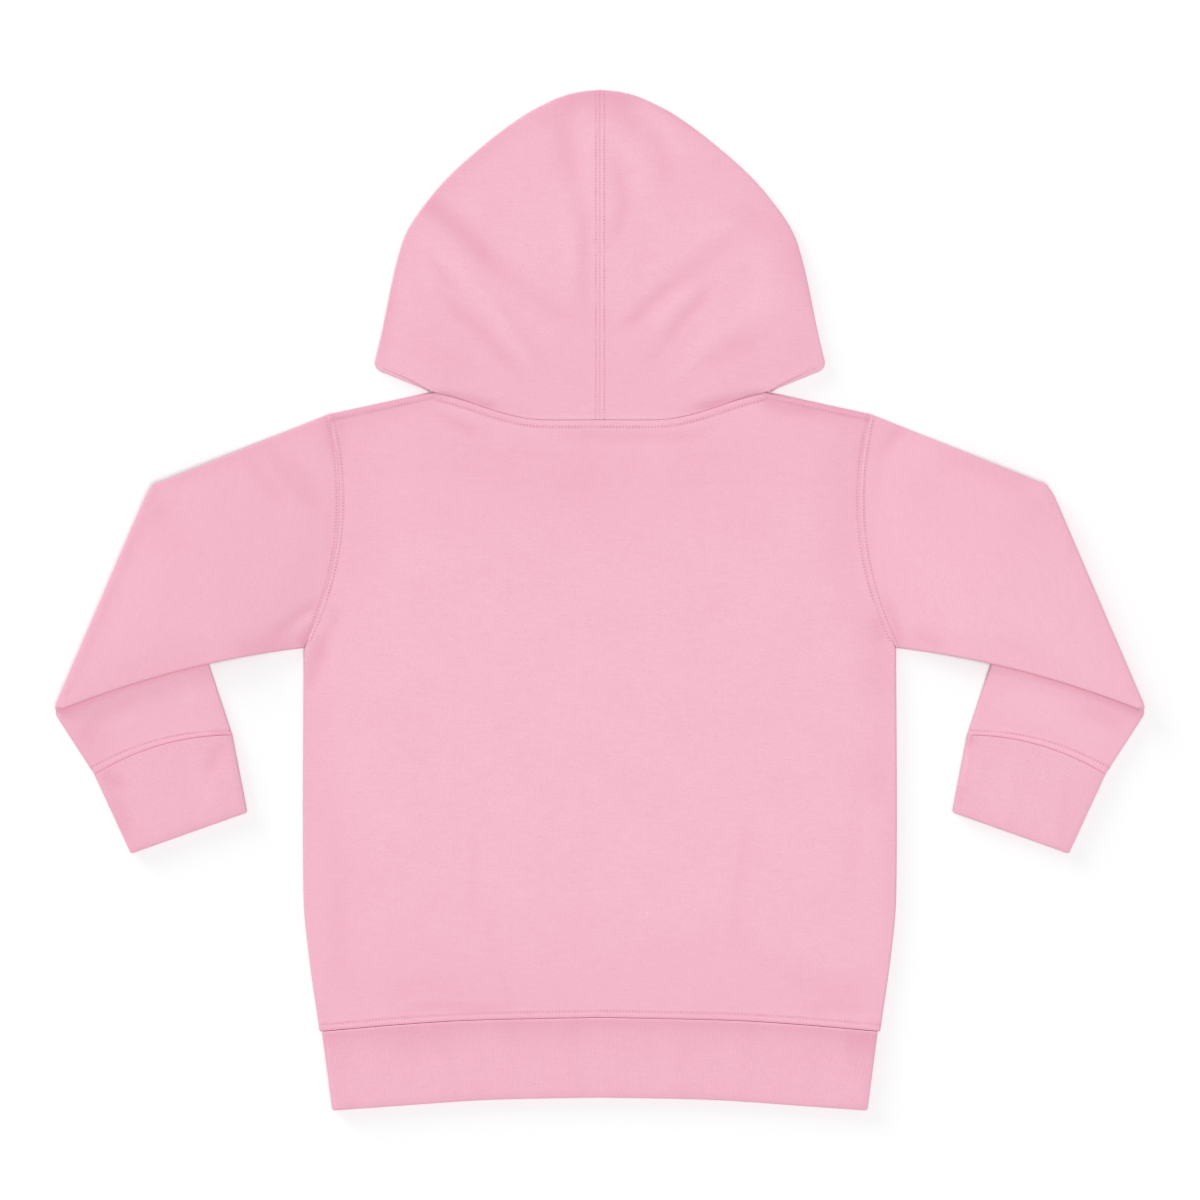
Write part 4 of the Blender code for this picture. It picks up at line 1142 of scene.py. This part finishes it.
HOOD_CREASES = {
    "left": (
        *MIDDLE_CREASES,
        # the deep fold from the side to the centre, and the soft ones below it
        Crease(6, -0.7, ((-102, 217), (-92, 210), (-82, 203), (-70, 192), (-60, 181), (-50, 172))),
        Crease(6, -0.3, ((-64, 184), (-50, 172), (-38, 162), (-24, 153), (-6, 146))),
        Crease(4, 0.18, ((-90, 187), (-78, 177), (-64, 161), (-52, 146), (-40, 130), (-30, 114))),
        Crease(3, -0.25, ((-92, 183), (-84, 172), (-76, 164))),
        Crease(4, -0.4, ((-84, 163), (-74, 152), (-64, 143), (-52, 130), (-40, 118))),
        Crease(4, -0.2, ((-56, 164), (-46, 148), (-36, 132), (-28, 120))),
        # beside the silhouette
        Crease(5, 0.14, ((-106, 168), (-102, 156), (-98, 146))),
        Crease(26, -0.17, ((-102, 172), (-90, 148), (-60, 126))),
        Crease(3, 0.15, ((-94, 174), (-88, 162))),
        Crease(4, -0.35, ((-104, 195), (-109, 178), (-112, 160), (-115, 140), (-116, 126))),
        Crease(7, -0.2, ((-98, 202), (-80, 223), (-56, 244), (-36, 256))),
        Crease(24, -0.08, ((-72, 212), (-46, 230), (-26, 240))),
        Crease(14, -0.15, ((-118, 130), (-98, 126), (-76, 121), (-50, 116))),
        Crease(10, -0.08, ((-98, 144), (-84, 132), (-66, 120))),
        # along the neck
        Crease(3, -0.6, ((-88, 110), (-74, 107), (-62, 103), (-50, 102))),
        # down beside the centre seam
        Crease(5, -0.4, ((-22, 260), (-18, 246), (-16, 230), (-13, 214))),
        Crease(4, -0.35, ((-13, 216), (-9, 202), (-8, 186), (-8, 166), (-6, 148))),
        Crease(6, -0.15, ((-26, 254), (-22, 240), (-18, 226))),
        Crease(5, 0.15, ((-17, 195), (-15, 180), (-16, 166))),
        Crease(3, 0.12, ((-4, 248), (-6, 237), (-6, 222))),
        # the crown
        Crease(6, -0.35, ((-38, 253), (-24, 257), (-8, 260))),
    ),
    "right": (
        *MIDDLE_CREASES,
        # the crown
        Crease(6, -0.5, ((4, 262), (14, 256), (22, 248))),
        Crease(5, -0.35, ((22, 250), (30, 242), (34, 230), (37, 216))),
        Crease(3, -0.4, ((24, 266), (38, 258), (52, 248))),
        Crease(4, 0.15, ((26, 257), (34, 250), (40, 242), (48, 234))),
        # down beside the centre seam
        Crease(4, 0.1, ((4, 250), (10, 241), (20, 232), (24, 220), (23, 204))),
        Crease(4, -0.4, ((8, 232), (11, 222), (13, 212), (11, 200), (8, 188))),
        Crease(4, -0.1, ((24, 196), (22, 180), (18, 164))),
        # beside the silhouette
        Crease(4, -0.15, ((58, 234), (66, 224))),
        Crease(7, -0.1, ((44, 252), (64, 238), (84, 220), (98, 200))),
        Crease(10, -0.3, ((68, 206), (80, 203), (92, 196), (98, 188))),
        Crease(5, -0.25, ((100, 198), (105, 186), (109, 168), (113, 148))),
        Crease(8, -0.2, ((98, 190), (101, 176), (104, 164))),
        Crease(8, -0.15, ((102, 146), (108, 134), (112, 124))),
        Crease(14, -0.2, ((116, 130), (98, 125), (80, 121), (56, 116))),
        Crease(26, -0.08, ((102, 176), (88, 154), (62, 130))),
        Crease(24, -0.08, ((28, 240), (46, 226), (64, 208))),
        # two folds from the centre out, and the ridges round them
        Crease(6, -0.35, ((74, 194), (60, 183), (48, 173), (36, 164))),
        Crease(4, -0.5, ((42, 170), (29, 159), (20, 150), (10, 142))),
        Crease(4, -0.5, ((60, 168), (52, 157), (43, 147), (34, 135))),
        Crease(4, -0.2, ((34, 135), (24, 124))),
        Crease(3, 0.15, ((54, 167), (42, 159), (32, 148), (26, 140))),
        Crease(2, 0.15, ((50, 194), (62, 197), (76, 201))),
        Crease(6, 0.16, ((86, 190), (88, 172), (82, 156), (68, 145))),
        Crease(5, 0.16, ((68, 145), (56, 134), (46, 124), (34, 112))),
        Crease(5, 0.15, ((84, 150), (94, 160), (98, 166))),
        Crease(6, -0.3, ((88, 139), (74, 135), (60, 127), (50, 120))),
        # along the neck
        Crease(3, -0.7, ((46, 101), (60, 103), (76, 107), (90, 110))),
    ),
}


def smooth_line(spots, shares):
    """The points at these shares of the length of a smooth curve through the spots."""
    spots = np.array(spots)
    ends = np.vstack([2 * spots[0] - spots[1], spots, 2 * spots[-1] - spots[-2]])
    t = np.linspace(0.0, 1.0, 25)[:-1, None]
    parts = []
    for p0, p1, p2, p3 in zip(ends, ends[1:], ends[2:], ends[3:]):
        bend = (2 * p0 - 5 * p1 + 4 * p2 - p3) * t**2 + (3 * p1 - p0 - 3 * p2 + p3) * t**3
        parts.append(0.5 * (2 * p1 + (p2 - p0) * t + bend))
    fine = np.vstack([*parts, spots[-1:]])
    run = np.concatenate([[0.0], np.hypot(*np.diff(fine, axis=0).T).cumsum()])
    return np.stack([np.interp(shares * run[-1], run, fine[:, k]) for k in (0, 1)], axis=1)


def steps(count):
    """Shares from 0 up to, but without, 1."""
    return np.linspace(0.0, 1.0, count, endpoint=False)


def hood_lines():
    """The hood's lines, station by station: neck seam, silhouette, and edge of the lower layer."""
    to_cheek, along_neck, to_corner = steps(60), steps(20), steps(5)
    round_corner, lower_edge = steps(15), np.linspace(0.0, 1.0, 21)
    silhouette = np.vstack([
        smooth_line(HOOD_SIDE, CHEEK * to_cheek),
        smooth_line(HOOD_SIDE, blend(CHEEK, JAW, along_neck)),
        smooth_line(HOOD_SIDE, blend(JAW, 1.0, to_corner)),
        smooth_line(HOOD_CORNER, round_corner),
        np.column_stack(between(HOOD_CORNER[-1], HOOD_LOWER_END, lower_edge)),
    ])
    front_x = FRONT_NECK_END * np.linspace(0.0, 1.0, len(along_neck) - 2)
    front_neck = np.column_stack([front_x, front_neck_y(front_x) + SEAM_GAP / 2])
    gathered = silhouette[len(to_cheek) + len(along_neck):] - GATHER
    # The upper half of the face opening takes three quarters of its stations.
    under = np.vstack([
        smooth_line(FACE_OPENING, np.interp(to_cheek, (0.0, 0.75, 1.0), (0.0, 0.5, 1.0))),
        front_neck,
        np.column_stack(between(front_neck[-1], GATHER, np.array([0.4, 0.8]))),
        GATHER + GATHER_RADIUS * gathered / np.hypot(*gathered.T)[:, None],
    ])
    stations = np.arange(len(silhouette))
    upright = np.interp(UPRIGHT_COLUMNS, silhouette[:NEAR_CENTRE, 0], stations[:NEAR_CENTRE])
    neck_x = np.interp(stations, [0.0, upright, stations[-1]], [SEAM_GAP / 2, UPRIGHT_COLUMNS, NECK_END])
    neck = np.stack([neck_x, back_neck_y(neck_x) + SEAM_GAP / 2], axis=1)
    silhouette[:, 0] = np.maximum(silhouette[:, 0], SEAM_GAP / 2)
    under[:, 0] = np.maximum(under[:, 0], SEAM_GAP / 2)
    return neck, silhouette, under


def hood_turn_line(silhouette):
    """The line that the cloth turns under from, and each point's way from it to the silhouette.

    The turn's radius shrinks at the neck, where the fold runs into the shoulder's end.
    """
    step = np.gradient(silhouette, axis=0)
    step[0] = (1.0, 0.0)  # level at the centre seam
    from_neck = np.hypot(*(silhouette - silhouette[-1]).T)
    radius = HOOD_RADIUS * blend(FLATTENED, 1.0, ease(from_neck / LOWER_EDGE))[:, None]
    outward = np.stack([-step[:, 1], step[:, 0]], axis=1) / np.hypot(*step.T)[:, None] * radius
    return silhouette - outward, outward


def hood_top(start, turn_at, share, creases, side):
    """Points of the hood's upper layer, share from 0 at the neck seam to 1 at the turn."""
    x, y = (blend(start[..., k], turn_at[..., k], share) for k in (0, 1))
    from_neck = share * np.hypot(turn_at[..., 0] - start[..., 0], turn_at[..., 1] - start[..., 1])
    lift = HOOD_LOFT * arch(share)
    lift = lift + crease_rise(creases, side * x, y) * ease((1 - share) / FOLD_FADE)
    lift = lift + NECK_RIDGE * bell(from_neck - NECK_RIDGE_AT, NECK_RIDGE_WIDTH)
    lift = lift - turn_down(from_neck, SEAM_TURN, SEAM_DIP)
    lift = lift + CENTRE_RELIEF * topstitched(x, HOOD_STITCH) - turn_down(x, SEAM_TURN, SEAM_DIP / 2)
    return x, y, 2 * HOOD_RADIUS + lift


def with_seam_columns(lines):
    """The same lines with more stations close to the centre seam, for its dip and its topstitching."""
    silhouette = lines[1]
    stations = np.arange(len(silhouette))
    more = np.interp(SEAM_COLUMNS, silhouette[:NEAR_CENTRE, 0], stations[:NEAR_CENTRE])
    fine = np.sort(np.concatenate([stations, more]))
    return [np.stack([np.interp(fine, stations, line[:, k]) for k in (0, 1)], axis=1) for line in lines]


def hood_shade(x, silhouette, from_neck, from_fold):
    """Painted shade beside the hood's seams and edges, with painted light along its lower edge and on its
    seam ridges.
    """
    at_lower_edge = ease((HOOD_CORNER[0][1] - silhouette[:, 1]) / LOWER_EDGE_START)
    neck_side = ease((x - NECK_LEVEL) / HOOD_NECK_SIDE_START) * fading(from_neck, HOOD_NECK_SIDE_REACH)
    shade = edge_shade(from_fold) - LOWER_EDGE_PAINTED_LIGHT * at_lower_edge * bell(from_fold, LOWER_EDGE_WIDTH)
    shade = shade + seam_shade(from_neck, HOOD_NECK_SHADE) + HOOD_NECK_SIDE_SHADE * neck_side
    return shade + seam_shade(x, CENTRE_SHADE) + seam_shade(x, BESIDE_STITCH_SHADE)


def make_hood_half(name, side, creases):
    """Half of the hood: rows from the neck out to the silhouette, round it, and back underneath."""
    neck, silhouette, under = hood_lines()
    turn_at, outward = hood_turn_line(silhouette)
    lines = with_seam_columns([neck, silhouette, under, turn_at, outward])
    neck, silhouette, under, turn_at, outward = lines
    reach = HOOD_LONGEST - LAST_ROW
    steps_out = close_steps(HOOD_LONGEST, HOOD_STEP)
    shares = np.minimum(steps_out[steps_out < reach + 0.1] / reach, 1.0)
    rows = [np.stack(hood_top(neck, turn_at, share, creases, side), axis=1) for share in shares]
    dip = turn_down(silhouette[:, 0], SEAM_TURN, SEAM_DIP / 2)
    for turn in np.linspace(0.0, pi, TURN_STEPS + 1)[1:]:
        aside, up = square_turn(turn)
        height = HOOD_RADIUS + (HOOD_RADIUS - dip * (up > 0)) * up
        rows.append(np.column_stack([turn_at + outward * np.abs(aside), height]))
    for share in np.linspace(0.0, 1.0, UNDER_ROWS)[1:]:
        x, y = blend(turn_at, under, share).T
        pressed_in = np.maximum(-crease_rise(creases, side * x, y), 0.0) * HIDDEN_DEPTH
        rows.append(np.column_stack([x, y, pressed_in * ease(share / FOLD_FADE)]))
    points = np.array(rows)
    x, y = points[:, :, 0], points[:, :, 1]
    from_neck = np.full(x.shape, FAR_FROM_STITCHES)
    from_neck[: len(shares)] = shares[:, None] * np.hypot(*(turn_at - neck).T)
    from_fold = np.hypot(x - silhouette[:, 0], y - silhouette[:, 1])
    upper = points[:, :, 2] > HOOD_RADIUS
    # Painted shade in the creases, fainter on the layer beneath.
    crease_shade = CREASE_SHADE * np.where(upper, 1.0, HIDDEN_DEPTH)
    shade = hood_shade(x, silhouette, from_neck, from_fold)
    marks = {
        "painted_shade": shade - crease_shade * crease_rise(creases, side * x, y),
        "stitch_off": np.where(upper, np.hypot(x - HOOD_STITCH, HOLES_OFF), FAR_FROM_STITCHES),
        "stitch_run": y.copy(),
    }
    points[:, :, 0] *= side
    return cloth_piece(name, points, points[:, :, :2].copy(), marks, flip=side < 0)


for side_name, side in SIDES:
    hood = make_hood_half("hood_" + side_name + "_cloth", side, HOOD_CREASES[side_name])
    thicken(hood, CLOTH)
    hood.data.materials.append(fleece)
    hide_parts("hood_" + side_name)

# ---------------------------------------------------------------- stitching
# The topstitching is polyester thread in the cloth's own pink. Each stitch is a short arch that
# comes up through one needle hole and goes down through the next.

THREAD_RADIUS = 0.15
THREAD_ARCH = 1.6  # height of a stitch's arch over its ends, in thread radii
THREAD_SINK = 1.1  # and how deep its ends lie in the cloth
STITCH_LENGTH = 1.1  # of each pitch, the part that shows
THREAD_SIDES = 6
THREAD_STATIONS = np.linspace(0.0, 1.0, 6)
THREAD_PINK = (0.86, 0.45, 0.56, 1.0)
THREAD_DARK_PINK = (0.76, 0.36, 0.47, 1.0)  # between its fibres


def make_thread():
    """Twisted polyester, a little fuzzy."""
    material, tree, shader = new_material("pink thread")
    place = add_node(tree, "ShaderNodeTexCoord").outputs["Object"]
    fuzz = add_node(tree, "ShaderNodeTexNoise", Vector=place, Scale=1500.0, Detail=2.0)
    shades = {"i0": fuzz.outputs["Fac"], "i6": THREAD_PINK, "i7": THREAD_DARK_PINK}
    dye_and_shade = add_node(tree, "ShaderNodeMix", data_type="RGBA", **shades)
    tree.links.new(dye_and_shade.outputs[2], shader.inputs["Base Color"])
    relief = add_node(tree, "ShaderNodeBump", Height=fuzz.outputs["Fac"], Strength=0.4, Distance=0.05 * MM)
    tree.links.new(relief.outputs["Normal"], shader.inputs["Normal"])
    shader.inputs["Roughness"].default_value = 0.6
    shader.inputs["Sheen Weight"].default_value = 0.1
    return material


thread = make_thread()


def stitch_row(name, path):
    """Separate stitches along a path of points on the cloth, joined in one mesh."""
    run = np.concatenate([[0.0], np.linalg.norm(np.diff(path, axis=0), axis=1).cumsum()])
    starts = np.arange(STITCH_PITCH / 2, run[-1] - STITCH_PITCH, STITCH_PITCH)
    along = starts[:, None] + THREAD_STATIONS * STITCH_LENGTH
    spine = np.stack([np.interp(along, run, path[:, k]) for k in range(3)], axis=2)
    spine[:, :, 2] += THREAD_RADIUS * (arch(THREAD_STATIONS) * THREAD_ARCH - THREAD_SINK)
    way = spine[:, -1, :2] - spine[:, 0, :2]
    way = way / np.linalg.norm(way, axis=1)[:, None]
    aside = np.stack([-way[:, 1], way[:, 0], 0.0 * way[:, 0]], axis=1)
    angles = np.arange(THREAD_SIDES) * 2 * pi / THREAD_SIDES
    upward = np.array([0.0, 0.0, 1.0])
    ring = np.cos(angles)[:, None] * aside[:, None, None, :] + np.sin(angles)[:, None] * upward
    points = spine[:, :, None, :] + THREAD_RADIUS * ring
    stations = len(THREAD_STATIONS)
    faces = []
    for stitch in range(len(starts)):
        base = stitch * stations * THREAD_SIDES
        for station in range(stations - 1):
            here = base + station * THREAD_SIDES
            there = here + THREAD_SIDES
            for k in range(THREAD_SIDES):
                after = (k + 1) % THREAD_SIDES
                faces.append((here + k, here + after, there + after, there + k))
        last = base + (stations - 1) * THREAD_SIDES
        faces.append(tuple(range(base, base + THREAD_SIDES))[::-1])
        faces.append(tuple(range(last, last + THREAD_SIDES)))
    mesh = bpy.data.meshes.new(name)
    mesh.from_pydata((points.reshape(-1, 3) * MM).tolist(), [], faces)
    mesh.shade_smooth()
    mesh.materials.append(thread)
    piece = add_piece(name, mesh)


ARMHOLE_ROW_START = 0.66  # share of the back's height at the armpit
ARMHOLE_ROW_END = 0.985


def back_row(u, edge, off_at):
    """Points on the back at this distance from its waist or top edge."""
    _, _, off = body_place(u, 0.0 * u, back_neck_y)
    if edge == "waist":
        return back_surface(u, off_at / off["top"])[0]
    slope = np.gradient(off["top"]) / np.gradient(u * SHOULDER_TIP[0])
    return back_surface(u, 1.0 - off_at * np.sqrt(1.0 + slope**2) / off["top"])[0]


def armhole_row(side, off_at):
    """Points on the back at this distance from one armhole seam."""
    share = np.linspace(ARMHOLE_ROW_START, ARMHOLE_ROW_END, 120)
    half = body_half_width(blend(SIDE[0].along, SHOULDER_TIP[1], share))
    return back_surface(side * (1.0 - off_at / half), share)[0]


def sleeve_row(share_at, surface, side, creases):
    """Points across a sleeve's upper face, where share_at gives the share along it."""
    points = []
    for across in np.linspace(0.03, 0.97, 90):
        share, up = share_at(across)
        column = tuple(np.array([value]) for value in (across, 0.0, up))
        x, y, z, _ = surface(column, share, creases, side)
        points.append((side * x[0], y[0], z[0]))
    return np.array(points)


def beside_armhole(across):
    """The share along the upper sleeve of its stitches, and 1 for the sleeve's upper layer."""
    return SLEEVE_STITCH / blend(*UPPER_LENGTHS, across), 1.0


def above_cuff(across):
    """The share along the forearm of its stitches, and -1 as that layer is turned over."""
    return 1.0 - blend(*CUFF_STITCH, across) / blend(*UNDER_LENGTHS, across), -1.0


neck_share = NECK_WIDTH / SHOULDER_TIP[0]
stitch_row("waist_topstitch", back_row(np.linspace(-0.975, 0.975, 400), "waist", WAIST_STITCH))
stitch_row("neck_topstitch", back_row(np.linspace(-neck_share, neck_share, 240), "top", NECK_STITCH))
for side_name, side in SIDES:
    along_shoulder = side * np.linspace(neck_share + 0.02, 0.96, 90)
    stitch_row("shoulder_topstitch_" + side_name, back_row(along_shoulder, "top", SHOULDER_STITCH))
    stitch_row("armhole_topstitch_" + side_name, armhole_row(side, ARMHOLE_STITCH))

    sleeve_path = sleeve_row(beside_armhole, upper_slice, side, SLEEVE_CREASES[side_name])
    stitch_row("sleeve_topstitch_" + side_name, sleeve_path)
    cuff_path = sleeve_row(above_cuff, under_slice, side, FOREARM_CREASES[side_name])
    stitch_row("cuff_topstitch_" + side_name, cuff_path)

    up_the_hood = np.linspace(0.02, 0.985, 200)
    neck_point = np.array([HOOD_STITCH, back_neck_y(HOOD_STITCH)])
    top_point = np.array([HOOD_STITCH, HOOD_SIDE[0][1] - HOOD_RADIUS])
    x, y, z = hood_top(neck_point, top_point, up_the_hood, HOOD_CREASES[side_name], side)
    stitch_row("hood_topstitch_" + side_name, np.stack([side * x, y, z], axis=1))

# ---------------------------------------------------------------- table, lamps and camera
# The hoodie lies on a plain white table, under one broad soft lamp overhead, a low one from the
# upper left and the even light of a white room. The camera looks straight down from above the table.

TABLE_HALF = 6.0  # metres, as are the two below
CAMERA_HEIGHT = 3.0
VIEW_WIDTH = 0.636  # width of the table that the camera takes in
SENSOR = 36.0  # millimetres
TABLE_WHITE = (0.91, 0.91, 0.91, 1.0)
ROOM_WHITE = (1.0, 1.0, 1.0, 1.0)

table_mesh = bpy.data.meshes.new("table")
table_corners = [(TABLE_HALF * x, TABLE_HALF * y, 0.0) for x, y in ((-1, -1), (1, -1), (1, 1), (-1, 1))]
table_mesh.from_pydata(table_corners, [], [(0, 1, 2, 3)])
table = bpy.data.objects.new("table", table_mesh)
bpy.context.scene.collection.objects.link(table)
white, _, table_surface = new_material("white table")
table_surface.inputs["Base Color"].default_value = TABLE_WHITE
table_surface.inputs["Roughness"].default_value = 0.9
table_mesh.materials.append(white)

scene = bpy.context.scene
scene.view_settings.view_transform = "Standard"
room = bpy.data.worlds.new("white room")
room.use_nodes = True
room_light = room.node_tree.nodes["Background"]
room_light.inputs["Color"].default_value = ROOM_WHITE
room_light.inputs["Strength"].default_value = 0.42
scene.world = room

Lamp = namedtuple("Lamp", "name strength spread tilt turn")
LAMPS = (  # spread, tilt from straight above, and turn from the left towards the top, in degrees
    Lamp("overhead lamp", 1.9, 34.0, 8.0, -135.0),
    Lamp("side lamp", 1.2, 28.0, 76.0, 45.0),
)
for lamp in LAMPS:
    light = bpy.data.lights.new(lamp.name, "SUN")
    light.energy = lamp.strength
    light.angle = radians(lamp.spread)
    holder = bpy.data.objects.new(lamp.name, light)
    holder.rotation_euler = (0.0, radians(-lamp.tilt), radians(-lamp.turn))
    scene.collection.objects.link(holder)

camera_data = bpy.data.cameras.new("camera")
camera_data.sensor_width = SENSOR
camera_data.lens = SENSOR * CAMERA_HEIGHT / VIEW_WIDTH
camera_data.clip_end = 20.0
camera = bpy.data.objects.new("camera", camera_data)
camera.location = (0.0, 0.0, CAMERA_HEIGHT)
scene.collection.objects.link(camera)
scene.camera = camera
